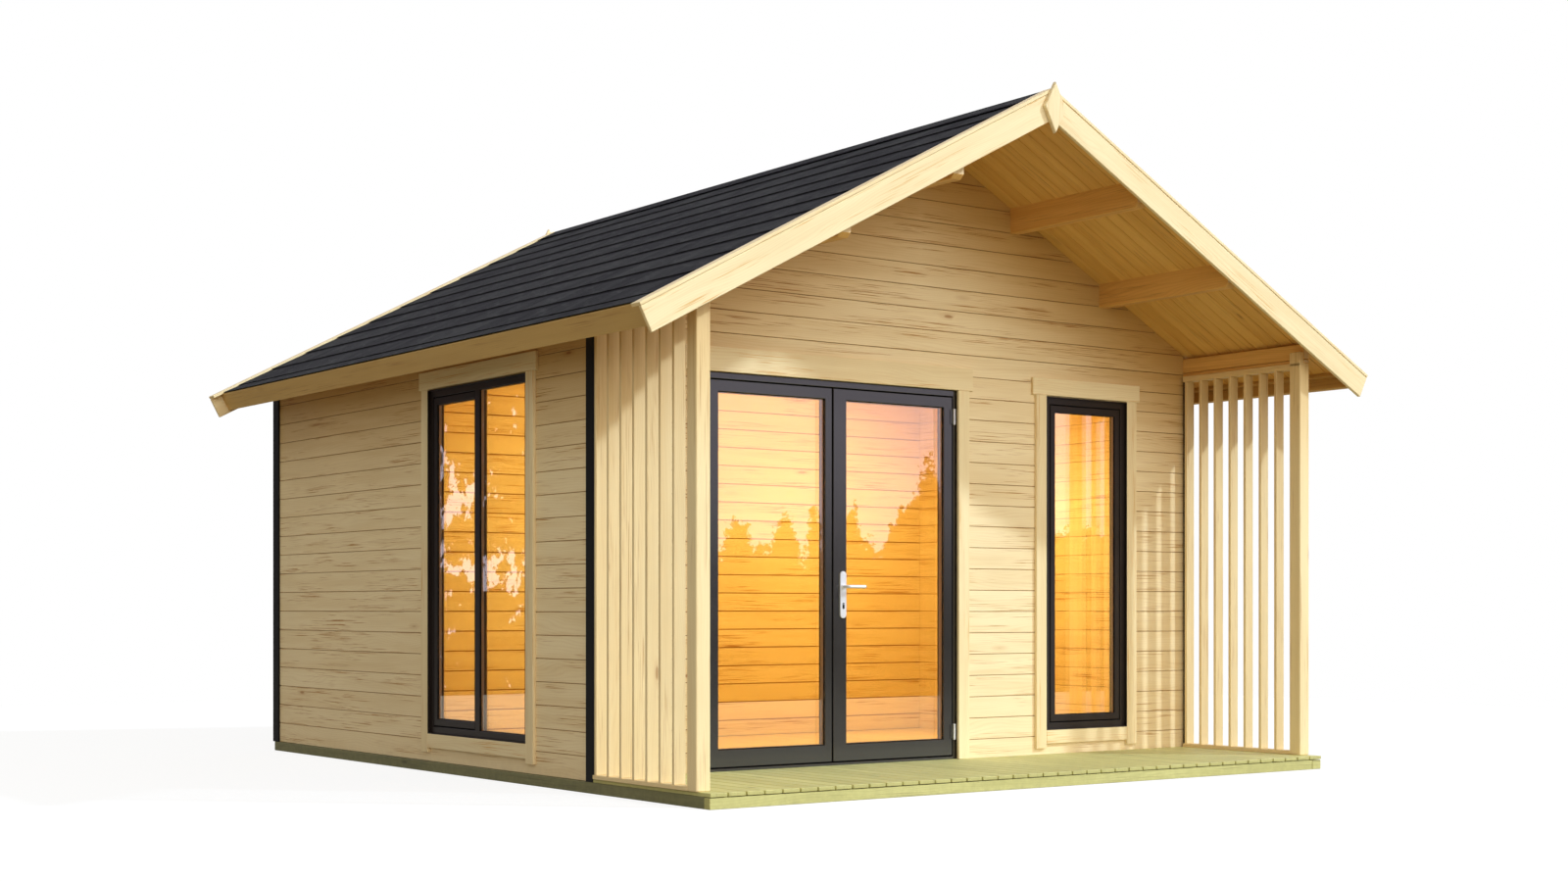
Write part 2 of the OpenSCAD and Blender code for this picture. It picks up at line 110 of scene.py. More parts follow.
@dataclass
class Skin:
    """Points and faces of one piece, with its grain map and its marks.

    Each block of faces has one count of corners. The grain map gives each corner its place
    along and across the grain in metres. The marks are the board's tone, 1 on an end cut,
    and the place across the board from 0 to 1.
    """

    points: Array
    faces: list[Array]
    grain: list[Array]
    mark: list[Array]

    def outward(self) -> "Skin":
        """The same skin with its faces turned outwards.

        The sum over the faces' triangles of a . (b x c) is six times the volume inside,
        and is below zero where the faces point inwards.

        Returns:
            The skin, turned where it has to be.
        """
        volume = 0.0
        for block in self.faces:
            ring = self.points[block]
            fan = np.cross(ring[:, 1:-1], ring[:, 2:])
            volume += float((ring[:, :1] * fan).sum())
        if volume >= 0:
            return self
        turned = [[block[:, ::-1] for block in blocks] for blocks in (self.faces, self.grain, self.mark)]
        return Skin(self.points, *turned)


def joined(skins: Sequence[Skin]) -> Skin:
    """Several skins as one.

    Args:
        skins: the skins, in order.

    Returns:
        One skin with the faces of all.
    """
    start = np.cumsum([0] + [len(s.points) for s in skins])
    return Skin(
        np.concatenate([s.points for s in skins]),
        [block + n for s, n in zip(skins, start) for block in s.faces],
        [block for s in skins for block in s.grain],
        [block for s in skins for block in s.mark],
    )


def boards(
    centre: Array,
    axes: Array,
    size: Array,
    chamfer: float,
    seed: int,
    cuts: Array | None = None,
) -> Skin:
    """Boards with chamfered edges, all in one skin.

    A board's section is an octagon: a rectangle of width w and thickness t, less its corners
    by the chamfer c. It is carried along the length l through four stations, at -l/2, -l/2 + c,
    l/2 - c and l/2, and is smaller by c at the first and the last. A cut k moves an end's
    points by k times their place across the board.

    Args:
        centre: middle of each board.
        axes: the directions along, across and out of the boards, as rows, alike or one set each.
        size: length, width and thickness of each board.
        chamfer: size of the chamfer.
        seed: number that sets the boards' tones and figure.
        cuts: for each board, the slant of its first and last end.

    Returns:
        The boards' skin.
    """
    n = len(size)
    rng = np.random.default_rng(seed)
    tone = rng.random(n)
    shift = rng.random((n, 2)) * FIGURE_SHIFT
    half = size / 2
    c = np.minimum(chamfer, half[:, 1:].min(1) * LARGEST_CHAMFER)
    w, t = half[:, 1], half[:, 2]
    ring_w = np.stack([c - w, w - c, w, w, w - c, c - w, -w, -w], 1)
    ring_t = np.stack([-t, -t, c - t, t - c, t, t, t - c, c - t], 1)
    one = np.ones(n)
    small, thin = (np.stack([1 - c / k, one, one, 1 - c / k], 1)[..., None] for k in (w, t))
    across, out = ring_w[:, None] * small, ring_t[:, None] * thin
    station = np.stack([-half[:, 0], c - half[:, 0], half[:, 0] - c, half[:, 0]], 1)
    slant = np.zeros((n, 2)) if cuts is None else cuts
    along = station[..., None] + across * np.repeat(slant, 2, 1)[..., None]
    local = np.stack([along, across, out], -1)
    turned = np.einsum("nrpk,nkj->nrpj", local, np.broadcast_to(axes, (n, 3, 3)))
    points = centre[:, None, None] + turned

    first = (np.arange(n) * 32)[:, None, None]
    r, i = np.arange(3)[:, None], np.arange(8)[None]
    j = (i + 1) % 8
    quad = np.stack([r * 8 + i, r * 8 + j, r * 8 + 8 + j, r * 8 + 8 + i], -1).reshape(1, 24, 4)
    cap = np.stack([np.arange(8)[::-1], 24 + np.arange(8)])

    edge = np.stack([ring_w, ring_t], -1)
    step = np.hypot(*np.moveaxis(np.diff(edge, axis=1, append=edge[:, :1]), -1, 0))
    girth = np.concatenate([np.zeros((n, 1)), np.cumsum(step, 1)], 1)
    near, far = girth[:, :-1], girth[:, 1:]
    grain_v = np.broadcast_to(np.stack([near, far, far, near], -1)[:, None], (n, 3, 8, 4))
    along, across, out = (v.reshape(n, 32) for v in (along, across, out))
    grain = np.stack([along[:, quad[0]], grain_v.reshape(n, 24, 4)], -1) + shift[:, None, None]
    cap_grain = np.stack([out, across], -1)[:, cap] + shift[:, None, None]
    place = across / size[:, 1:2] + 0.5
    marks = []
    for block, end_cut in ((quad[0], 0.0), (cap, 1.0)):
        tones = np.broadcast_to(tone[:, None, None], (n, *block.shape))
        marks.append(np.stack([tones, 0 * tones + end_cut, place[:, block]], -1))
    return Skin(
        points.reshape(-1, 3),
        [(first + quad).reshape(-1, 4), (first + cap[None]).reshape(-1, 8)],
        [grain.reshape(-1, 4, 2), cap_grain.reshape(-1, 8, 2)],
        [marks[0].reshape(-1, 4, 3), marks[1].reshape(-1, 8, 3)],
    )


def stacked(*axes: Ends) -> tuple[Array, Array]:
    """Starts and ends of boards, as one row for each board and one column for each axis.

    Args:
        *axes: ends on each axis, numbers or arrays with one number for each board.

    Returns:
        The starts and the ends.
    """
    ends = np.broadcast_arrays(*[np.atleast_1d(np.asarray(v, float)) for axis in axes for v in axis])
    return np.stack(ends[0::2], 1), np.stack(ends[1::2], 1)


def side_by_side(span: Span, count: int, gap: float) -> Ends:
    """Ends of boards that lie side by side.

    Args:
        span: start of the first board and end of the last, with half a gap beyond each.
        count: number of boards.
        gap: width of the gaps between them.

    Returns:
        The boards' starts and ends.
    """
    edge = np.linspace(*span, count + 1)
    return inside((edge[:-1], edge[1:]), gap / 2)


def square_boards(x: Ends, y: Ends, z: Ends, grain: Grain, chamfer: float, seed: int) -> Skin:
    """Boards that lie square to the axes.

    The wider of a board's other two sides is its width.

    Args:
        x: low and high end on X, each a number or an array with one number for each board.
        y: the same on Y.
        z: the same on Z.
        grain: axis that the boards run along.
        chamfer: size of the chamfer.
        seed: number that sets the boards' tones and figure.

    Returns:
        The boards' skin.
    """
    low, high = stacked(x, y, z)
    span = high - low
    others = [k for k in range(3) if k != grain.value]
    wide = np.where(span[:, others[0]] >= span[:, others[1]], others[0], others[1])
    along = np.broadcast_to(UNIT[grain.value], span.shape)
    across = UNIT[wide]
    out = np.cross(along, across)
    rows = np.arange(len(span))
    size = np.stack([span[:, grain.value], span[rows, wide], span[rows, np.abs(out).argmax(1)]], 1)
    return boards((low + high) / 2, np.stack([along, across, out], 1), size, chamfer, seed)


def sweep(rings: Array, closed: bool = False, tone: float = 0.5) -> Skin:
    """A profile carried through stations, as a grid of quads.

    Point j of station i is joined to point j + 1 and to the same points of station i + 1.
    The last point joins the first, and so does the last station where the path is closed.
    Otherwise a flat face closes each end.

    Args:
        rings: stations, each a ring of points.
        closed: whether the path ends where it starts.
        tone: tone of the whole piece.

    Returns:
        The skin, with its faces outwards.
    """
    r, m = rings.shape[:2]
    i = np.arange(r if closed else r - 1)[:, None]
    j = np.arange(m)[None]
    a, b = i * m, ((i + 1) % r) * m
    k = (j + 1) % m
    quads = np.stack([a + j, a + k, b + k, b + j], -1).reshape(-1, 4)
    middle = rings.mean(1)
    walk = np.linalg.norm(np.diff(middle, axis=0, append=middle[:1]), axis=1)
    u = np.concatenate([[0], np.cumsum(walk)])
    girth = np.linalg.norm(np.diff(rings, axis=1, append=rings[:, :1]), axis=2).max(0)
    v = np.concatenate([[0], np.cumsum(girth)])
    ends = ((i, j), (i, j + 1), (i + 1, j + 1), (i + 1, j))
    places = [np.stack(np.broadcast_arrays(u[row], v[column]), -1) for row, column in ends]
    faces, grains = [quads], [np.stack(places, 2).reshape(-1, 4, 2)]
    marks = [np.zeros((len(quads), 4, 3)) + (tone, 0.0, 0.5)]
    if not closed:
        faces.append(np.stack([np.arange(m)[::-1], (r - 1) * m + np.arange(m)]))
        grains.append(np.zeros((2, m, 2)) + v[j][..., None])
        marks.append(np.zeros((2, m, 3)) + (tone, 1.0, 0.5))
    return Skin(rings.reshape(-1, 3), faces, grains, marks).outward()


def round_bar(path: Array, radii: Sequence[float], side: Array, other: Array) -> Skin:
    """A round bar or a turned piece: a circle at each station of a path.

    A circle's points are p + r (cos a s + sin a o), where p is the station and s and o are two
    directions square to the path.

    Args:
        path: points of the centre line.
        radii: radius at each point.
        side: direction s, one for all stations or one for each.
        other: direction o, one for all stations or one for each.

    Returns:
        The bar's skin.
    """
    a = np.linspace(0, 2 * math.pi, ROUND_POINTS, endpoint=False)[None, :, None]
    side, other = (np.broadcast_to(v, path.shape)[:, None] for v in (side, other))
    ring = np.cos(a) * side + np.sin(a) * other
    return sweep(path[:, None] + np.asarray(radii)[:, None, None] * ring)


def tube(path: Array, radii: Array, across: Array) -> Skin:
    """A round bar along a path that lies in one plane.

    Args:
        path: points of the centre line.
        radii: radius at each point.
        across: direction square to the plane of the path.

    Returns:
        The bar's skin.
    """
    ahead = np.gradient(path, axis=0)
    ahead /= np.linalg.norm(ahead, axis=1, keepdims=True)
    return round_bar(path, radii, across, np.cross(ahead, across))


def disc(foot: Sequence[float], radii: Sequence[float], heights: Sequence[float], axis: Array) -> Skin:
    """A turned piece: circles of the given radii at the given heights along an axis.

    Args:
        foot: foot of the axis.
        radii: radius of each circle.
        heights: place of each circle along the axis.
        axis: direction of the axis.

    Returns:
        The skin of the turned piece.
    """
    side = UNIT[(int(np.abs(axis).argmax()) + 1) % 3]
    path = np.asarray(foot, float) + np.asarray(heights)[:, None] * axis
    return round_bar(path, radii, side, np.cross(axis, side))


def surround(
    outer: Rect,
    inner: Rect,
    profile: Sequence[tuple[int, float, float]],
    place: Callable[[Array], Array],
) -> Skin:
    """A profile carried round a rectangle, with mitred corners.

    A profile point is (edge, inward, depth). Edge 0 counts inward from the outer rectangle and
    edge 1 from the inner one. Its place at a corner is the edge's corner, moved inward along
    both sides.

    Args:
        outer: spans of the outer rectangle, across and up.
        inner: spans of the inner rectangle, across and up.
        profile: the closed profile.
        place: puts points (across, depth, up) into the model's frame.

    Returns:
        The skin of the frame.
    """
    rects = np.array([outer, inner], float)
    edge, inward, depth = (np.array(column) for column in zip(*profile))
    pick = np.array([[0, 0], [1, 0], [1, 1], [0, 1]])
    sign = 1 - 2 * pick
    a = rects[edge, 0][:, pick[:, 0]].T + sign[:, :1] * inward
    z = rects[edge, 1][:, pick[:, 1]].T + sign[:, 1:] * inward
    return sweep(place(np.stack([a, np.broadcast_to(depth, a.shape), z], -1)), closed=True)


def frame_profile(depth: Span, soft: float) -> list[tuple[int, float, float]]:
    """Profile of a plain frame member with softened edges.

    Args:
        depth: its front and back.
        soft: size of the softened edges.

    Returns:
        The profile, for surround.
    """
    d0, d1 = depth
    return [
        (0, soft, d0), (1, -soft, d0), (1, 0.0, d0 + soft), (1, 0.0, d1 - soft),
        (1, -soft, d1), (0, soft, d1), (0, 0.0, d1 - soft), (0, 0.0, d0 + soft),
    ]


# ---------------------------------------------------------------- finishes


@dataclass(frozen=True)
class Value:
    """Number or colour that a node gives. Formulas are written with it, and each step adds a node."""

    graph: "Graph"
    socket: bpy.types.NodeSocket

    def __add__(self, other: Any) -> "Value":
        """Sum."""
        return self.graph.math("ADD", self, other)

    def __sub__(self, other: Any) -> "Value":
        """Difference."""
        return self.graph.math("SUBTRACT", self, other)

    def __rsub__(self, other: Any) -> "Value":
        """Difference from a plain number."""
        return self.graph.math("SUBTRACT", other, self)

    def __mul__(self, other: Any) -> "Value":
        """Product."""
        return self.graph.math("MULTIPLY", self, other)

    def __truediv__(self, other: Any) -> "Value":
        """Quotient."""
        return self.graph.math("DIVIDE", self, other)

    def __pow__(self, other: Any) -> "Value":
        """Power."""
        return self.graph.math("POWER", self, other)

    def __abs__(self) -> "Value":
        """Size without its sign."""
        return self.graph.math("ABSOLUTE", self)

    def larger(self, other: Any) -> "Value":
        """The larger of two numbers."""
        return self.graph.math("MAXIMUM", self, other)

    def clamped(self) -> "Value":
        """The same number, kept between 0 and 1."""
        self.socket.node.use_clamp = True
        return self


@dataclass(frozen=True)
class Graph:
    """Node tree that is being wired."""

    tree: bpy.types.NodeTree

    def feed(self, node: bpy.types.Node, inputs: dict[str | int, Any]) -> None:
        """Gives a node's inputs their values or links. A colour of three numbers is opaque.

        Args:
            node: the node.
            inputs: values or sockets by the input's name or number.
        """
        for name, value in inputs.items():
            target = node.inputs[name]
            if isinstance(value, Value):
                self.tree.links.new(value.socket, target)
            elif target.type == "RGBA" and len(value) == 3:
                target.default_value = (*value, 1.0)
            else:
                target.default_value = value

    def node(
        self, kind: str, inputs: dict[str | int, Any] | None = None, **settings: Any
    ) -> dict[str | int, Value]:
        """Adds a node, sets it and feeds it.

        Args:
            kind: type of the node, without the words that all of them start with.
            inputs: values or sockets by the input's name or number.
            **settings: the node's own settings.

        Returns:
            The node's outputs, by name and by number.
        """
        made = self.tree.nodes.new("ShaderNode" + kind)
        for name, value in settings.items():
            setattr(made, name, value)
        self.feed(made, inputs or {})
        given = {socket.name: Value(self, socket) for socket in made.outputs}
        return given | {k: Value(self, socket) for k, socket in enumerate(made.outputs)}

    def math(self, operation: str, a: Any, b: Any = 0.0) -> Value:
        """One operation on numbers.

        Args:
            operation: name of the operation.
            a: first number or value.
            b: second number or value.

        Returns:
            The result.
        """
        return self.node("Math", {0: a, 1: b}, operation=operation)[0]

    def blend(self, share: Any, a: Any, b: Any, kind: str = "MIX") -> Value:
        """Blend of two colours.

        Args:
            share: share of the second colour.
            a: first colour.
            b: second colour.
            kind: way of blending.

        Returns:
            The result.
        """
        return self.node("Mix", {0: share, 6: a, 7: b}, data_type="RGBA", blend_type=kind)[2]

    def step(self, value: Any, low: float, high: float, start: float = 0.0, end: float = 1.0) -> Value:
        """Smooth step from one number to another.

        Args:
            value: what the step depends on.
            low: where the step starts.
            high: where it ends.
            start: result below the step.
            end: result above it.

        Returns:
            The result.
        """
        inputs = {0: value, 1: low, 2: high, 3: start, 4: end}
        return self.node("MapRange", inputs, interpolation_type="SMOOTHSTEP")[0]

    def axes(self, vector: Value) -> tuple[Value, Value, Value]:
        """The three numbers of a vector."""
        parts = self.node("SeparateXYZ", {0: vector})
        return parts[0], parts[1], parts[2]

    def parts(self, colour: Value) -> tuple[Value, Value, Value]:
        """The three numbers of a colour."""
        parts = self.node("SeparateColor", {0: colour})
        return parts[0], parts[1], parts[2]

    def vector(self, x: Any = 0.0, y: Any = 0.0, z: Any = 0.0) -> Value:
        """A vector of three numbers."""
        return self.node("CombineXYZ", {0: x, 1: y, 2: z})[0]

    def stretched(self, vector: Value, scale: tuple[float, float, float], offset: Any = None) -> Value:
        """A vector times a scale, with an offset.

        Args:
            vector: the vector.
            scale: factor on each axis.
            offset: vector to add.

        Returns:
            The result.
        """
        made = self.node("VectorMath", {0: vector, 1: scale}, operation="MULTIPLY")[0]
        return made if offset is None else self.node("VectorMath", {0: made, 1: offset}, operation="ADD")[0]

    def noise(self, vector: Value, scale: Any, detail: float = 2.0, rough: float = 0.5) -> Value:
        """Noise from 0 to 1.

        Args:
            vector: place in the noise.
            scale: its scale.
            detail: number of finer layers.
            rough: weight of the finer layers.

        Returns:
            The noise.
        """
        inputs = {"Vector": vector, "Scale": scale, "Detail": detail, "Roughness": rough}
        return self.node("TexNoise", inputs)[0]

    def bump(self, height: Value, strength: float, distance: float) -> Value:
        """Normal of a surface with a fine relief.

        Args:
            height: the relief, from 0 to 1.
            strength: share of it that shows.
            distance: its depth in metres.

        Returns:
            The normal.
        """
        return self.node("Bump", {"Strength": strength, "Distance": distance, "Height": height})[0]

    def place(self, kind: str = "Object") -> Value:
        """Place on the piece, in metres, or on its own map where the kind is UV."""
        return self.node("TexCoord")[kind]

    def marks(self) -> tuple[Value, Value, Value]:
        """The marks of a piece's faces: board's tone, end cut, and place across the board."""
        return self.parts(self.node("Attribute", attribute_name="mark")[0])


def effect(
    name: str, inputs: dict[str, Any], outputs: Sequence[str]
) -> tuple[Graph, dict[str, Value], bpy.types.Node]:
    """Starts a shader node group.

    Args:
        name: name of the group.
        inputs: name and first value of each input. Three numbers are a colour, but for Vector.
        outputs: name of each output. Color is a colour, and the others are numbers.

    Returns:
        The group's graph, what its inputs give, and its output node.
    """
    number, colour, vector = "NodeSocketFloat", "NodeSocketColor", "NodeSocketVector"
    tree = bpy.data.node_groups.new(name, "ShaderNodeTree")
    for label, value in inputs.items():
        kind = number if isinstance(value, float) else vector if label == "Vector" else colour
        made = tree.interface.new_socket(label, in_out="INPUT", socket_type=kind)
        made.default_value = (*value, 1.0) if kind == colour else value
    for label in outputs:
        tree.interface.new_socket(label, in_out="OUTPUT", socket_type=colour if label == "Color" else number)
    graph = Graph(tree)
    source, sink = (tree.nodes.new(kind) for kind in ("NodeGroupInput", "NodeGroupOutput"))
    return graph, {socket.name: Value(graph, socket) for socket in source.outputs}, sink


def timber_effect() -> bpy.types.NodeTree:
    """Group that draws softwood: growth rings, fibres, brown streaks, knots and end grain.

    The rings are a sine of the place across the board, bent by slow noise along it. The streaks
    are where stretched noise is high inside patches. The knots are the cells of a Voronoi
    pattern whose own number is high, and are small ellipses with a dark rim.

    Returns:
        The group.
    """
    g, given, out = effect(
        "timber",
        {
            "Vector": (0, 0, 0), "Tone": 0.5, "End": 0.0, "Light": (1, 1, 1), "Dark": (0.5, 0.5, 0.5),
            "Streak": (0.2, 0.1, 0.05), "Cut": (0.5, 0.4, 0.2), "Figure": 0.5, "Streaks": 0.5, "Knots": 0.5,
            "Variation": 0.3,
        },
        ["Color", "Roughness", "Height"],
    )
    at, tone, end = given["Vector"], given["Tone"], given["End"]
    lift = g.vector(z=tone * 31.0)

    def figure(along: float, across: float, detail: float = 2.0, rough: float = 0.5) -> Value:
        """Noise with so many waves in a metre along and across the board."""
        return g.noise(g.stretched(at, (along, across, 1.0), lift), 1.0, detail, rough)

    rings = g.axes(at)[1] * 520.0 + figure(0.9, 5.0) * 95.0
    ring = (g.math("SINE", rings) * 0.5 + 0.5) ** 2.5
    fibre = figure(7.0, 240.0, 3.0, 0.6)
    broad = g.step(figure(1.3, 20.0, 3.0, 0.55), 0.36, 0.70)
    dash = g.step(figure(3.2, 270.0), 0.565, 0.63)
    patch = g.step(figure(1.6, 17.0), 0.48, 0.62)
    streak = (dash * patch * given["Streaks"]).clamped()

    spots = {"Vector": g.stretched(at, (2.6, 10.0, 1.0), lift), "Scale": 1.0}
    cells = g.node("TexVoronoi", spots, voronoi_dimensions="3D")
    chosen = g.step(g.parts(cells["Color"])[0], 0.80, 0.82)
    near = cells["Distance"] + (fibre - 0.5) * 0.06
    knot = (g.step(near, 0.05, 0.10, 1.0, 0.0) * chosen * given["Knots"]).clamped()
    rim = (g.step(near, 0.08, 0.24, 1.0, 0.0) * chosen * (given["Knots"] * 0.35)).clamped()

    body = (ring * 0.34 + broad * 0.5 + fibre * 0.22) * given["Figure"]
    shade = (body + tone * given["Variation"]).clamped()
    colour = g.blend(shade, given["Light"], given["Dark"])
    colour = g.blend(streak.larger(rim), colour, given["Streak"])
    colour = g.blend(knot, colour, g.blend(1.0, given["Streak"], (0.78, 0.62, 0.50), "MULTIPLY"))
    wave = {"Vector": at, "Scale": 55.0, "Distortion": 1.5, "Detail": 1.0}
    years = g.node("TexWave", wave, wave_type="RINGS", rings_direction="Z")["Fac"]
    cut = g.blend(years * 0.4, given["Cut"], given["Streak"])
    g.feed(out, {
        "Color": g.blend(end * 0.55, colour, cut),
        "Roughness": ring * -0.1 + (fibre * 0.16 + 0.52) + end * 0.15,
        "Height": ring * 0.5 + fibre * 0.5 - knot * 0.5,
    })
    return g.tree


def dirt_and_shade_effect() -> bpy.types.NodeTree:
    """Group that darkens a colour with splashed dirt near the ground and in broad patches.

    The splash is 1 at the ground and falls to 0 at the given height, broken up by noise. Close
    under the roof the colour is multiplied by an orange brown as painted shade, standing in for the
    warm light bounced between the boards there: the depth below the roof boards is the ridge's
    height less the slope times the distance from the middle, less z.

    Returns:
        The group.
    """
    g, given, out = effect(
        "weather",
        {
            "Vector": (0, 0, 0), "Colour": (1, 1, 1), "Dirt": (0.2, 0.17, 0.1), "Splash": 0.3, "Reach": 0.25,
            "Patches": 0.1, "Amber": 0.0, "Ridge": 3.3, "Slope": 0.4,
        },
        ["Color"],
    )
    at = given["Vector"]
    sideways, _, up = g.axes(at)
    # Painted shade: orange brown close under the roof boards, for the warm light bounced there.
    below = given["Ridge"] - up - abs(sideways) * given["Slope"]
    roof_shade = g.step(below, 0.05, 0.95, 1.0, 0.0) * given["Amber"]
    colour = g.blend(roof_shade, given["Colour"], (0.70, 0.54, 0.30), "MULTIPLY")
    low = (1.0 - up / given["Reach"]).clamped()
    splash = low * low * g.step(g.noise(at, 26.0, 4.0, 0.65), 0.3, 0.7)
    patches = g.step(g.noise(at, 1.7, 3.0), 0.45, 0.75) * given["Patches"]
    share = (splash * given["Splash"] + patches).clamped()
    g.feed(out, {"Color": g.blend(share, colour, given["Dirt"])})
    return g.tree


def coating_effect() -> bpy.types.NodeTree:
    """Group that gives paint, rubber and metal their small unevenness.

    Fine noise is the coat's orange peel, and slow noise is where hands and rain have dulled it.

    Returns:
        The group.
    """
    g, given, out = effect(
        "coating",
        {
            "Vector": (0, 0, 0), "Colour": (0.5, 0.5, 0.5), "Dust": (0.4, 0.38, 0.34), "Peel": 900.0,
            "Dusty": 0.1, "Rough": 0.4, "Spread": 0.12,
        },
        ["Color", "Roughness", "Height"],
    )
    peel = g.noise(given["Vector"], given["Peel"])
    slow = g.noise(given["Vector"], 3.1, 4.0, 0.6)
    dust = g.step(slow, 0.35, 0.75) * given["Dusty"]
    speck = g.step(peel, 0.4, 0.75) * (given["Dusty"] * 0.5)
    g.feed(out, {
        "Color": g.blend((dust + speck).clamped(), given["Colour"], given["Dust"]),
        "Roughness": (given["Rough"] + (slow - 0.5) * given["Spread"]).clamped(),
        "Height": peel,
    })
    return g.tree


TIMBER, DIRT_AND_SHADE, COATING = timber_effect(), dirt_and_shade_effect(), coating_effect()


def blank(name: str) -> tuple[bpy.types.Material, Graph]:
    """A new material with an empty node tree.

    Args:
        name: name of the material.

    Returns:
        The material and its graph.
    """
    material = bpy.data.materials.new(name)
    material.use_nodes = True
    material.node_tree.nodes.clear()
    return material, Graph(material.node_tree)


def dressed(name: str, inputs: Callable[[Graph], dict[str, Any]]) -> bpy.types.Material:
    """A new material with one Principled shader.

    Args:
        name: name of the material.
        inputs: gives the shader's inputs, worked out in the material's graph.

    Returns:
        The material.
    """
    material, g = blank(name)
    g.node("OutputMaterial", {"Surface": g.node("BsdfPrincipled", inputs(g))[0]})
    return material


@dataclass(frozen=True)
class Wood:
    """Planed softwood, with its figure along each board."""

    name: str
    light: Colour
    dark: Colour
    streak: Colour
    figure: float = 0.5
    streaks: float = 0.5
    knots: float = 0.6
    variation: float = 0.3
    splash: float = 0.25
    reach: float = 0.2
    patches: float = 0.08
    painted_shade: float = 0.0
    cut: Colour | None = None
    relief: float = 0.0005
    dirt: float = 0.62

    def inputs(self, g: Graph) -> dict[str, Any]:
        """The shader's inputs: boards with their figure, dirtied near the ground, with painted shade close
        under the roof.

        Args:
            g: the material's graph.

        Returns:
            The inputs by name.
        """
        plan = Plan.measured()
        tone, end, _ = g.marks()
        grain = g.node("Group", {
            "Vector": g.place("UV"), "Tone": tone, "End": end, "Light": self.light, "Dark": self.dark,
            "Streak": self.streak, "Cut": self.cut or self.dark, "Figure": self.figure,
            "Streaks": self.streaks, "Knots": self.knots, "Variation": self.variation,
        }, node_tree=TIMBER)
        # Dirt near the ground and in patches, and painted shade in orange brown close under the roof.
        dirtied_and_shaded = g.node("Group", {
            "Vector": g.place(), "Colour": grain["Color"], "Dirt": tuple(self.dirt * c for c in self.dark),
            "Splash": self.splash, "Reach": self.reach, "Patches": self.patches, "Amber": self.painted_shade,
            "Ridge": plan.under(0), "Slope": math.tan(plan.tilt),
        }, node_tree=DIRT_AND_SHADE)
        bump = g.bump(grain["Height"], 0.35, self.relief)
        return {"Base Color": dirtied_and_shaded["Color"], "Roughness": grain["Roughness"], "Normal": bump}


@dataclass(frozen=True)
class Coated:
    """Painted, plated or moulded surface."""

    name: str
    colour: Colour
    dust: Colour
    rough: float = 0.4
    spread: float = 0.12
    peel: float = 900.0
    dusty: float = 0.1
    metallic: float = 0.0
    gloss: float = 0.5
    relief: float = 0.00008

    def inputs(self, g: Graph) -> dict[str, Any]:
        """The shader's inputs: an even colour with a little dust.

        Args:
            g: the material's graph.

        Returns:
            The inputs by name.
        """
        coat = g.node("Group", {
            "Vector": g.place(), "Colour": self.colour, "Dust": self.dust, "Peel": self.peel,
            "Dusty": self.dusty, "Rough": self.rough, "Spread": self.spread,
        }, node_tree=COATING)
        return {
            "Base Color": coat["Color"], "Roughness": coat["Roughness"], "Metallic": self.metallic,
            "Specular IOR Level": self.gloss, "Normal": g.bump(coat["Height"], 0.4, self.relief),
        }


@dataclass(frozen=True)
class Felt:
    """Bitumen shingles with stone granules, darker where the next course overhangs them."""

    name: str
    dark: Colour
    light: Colour
    shadow: Colour
    shadow_from: float = 0.77
    gloss: float = 0.08

    def inputs(self, g: Graph) -> dict[str, Any]:
        """The shader's inputs: granules and slanted smears, under the next course's shadow.

        Args:
            g: the material's graph.

        Returns:
            The inputs by name.
        """
        at = g.place()
        tone, _, up_the_roof = g.marks()
        grit = g.parts(g.node("TexVoronoi", {"Vector": at, "Scale": 420.0})["Color"])[1]
        wide = g.step(g.noise(g.stretched(at, (1.0, 3.4, 1.0)), 2.2, 4.0, 0.6), 0.34, 0.7)
        x, y, _ = g.axes(at)
        slanted = g.vector(y * 2.6 + x * 2.6, x * 15.0 - y * 7.0)
        smear = g.step(g.noise(slanted, 1.0, 4.0, 0.65), 0.50, 0.74)
        share = (tone * 0.42 + wide * 0.36 + grit * 0.28 + smear * 0.55).clamped()
        under = g.step(up_the_roof, self.shadow_from - 0.03, self.shadow_from + 0.02)
        return {
            "Base Color": g.blend(under, g.blend(share, self.dark, self.light), self.shadow),
            "Roughness": grit * 0.1 + 0.78,
            "Specular IOR Level": self.gloss,
            "Normal": g.bump(grit, 0.6, 0.0012),
        }


@dataclass(frozen=True)
class Glass:
    """One warm-tinted sheet of a double pane, slightly wavy as float glass is."""

    name: str
    tint: Colour
    ior: float

    def inputs(self, g: Graph) -> dict[str, Any]:
        """The shader's inputs: clear glass, dulled a little where it has been wiped.

        Args:
            g: the material's graph.

        Returns:
            The inputs by name.
        """
        at = g.place()
        return {
            "Base Color": self.tint, "IOR": self.ior, "Transmission Weight": 1.0,
            "Roughness": g.step(g.noise(at, 2.3, 4.0, 0.6), 0.6, 0.9, 0.0, 0.012),
            "Normal": g.bump(g.noise(at, 2.6, 1.0), 0.02, 0.001),
        }


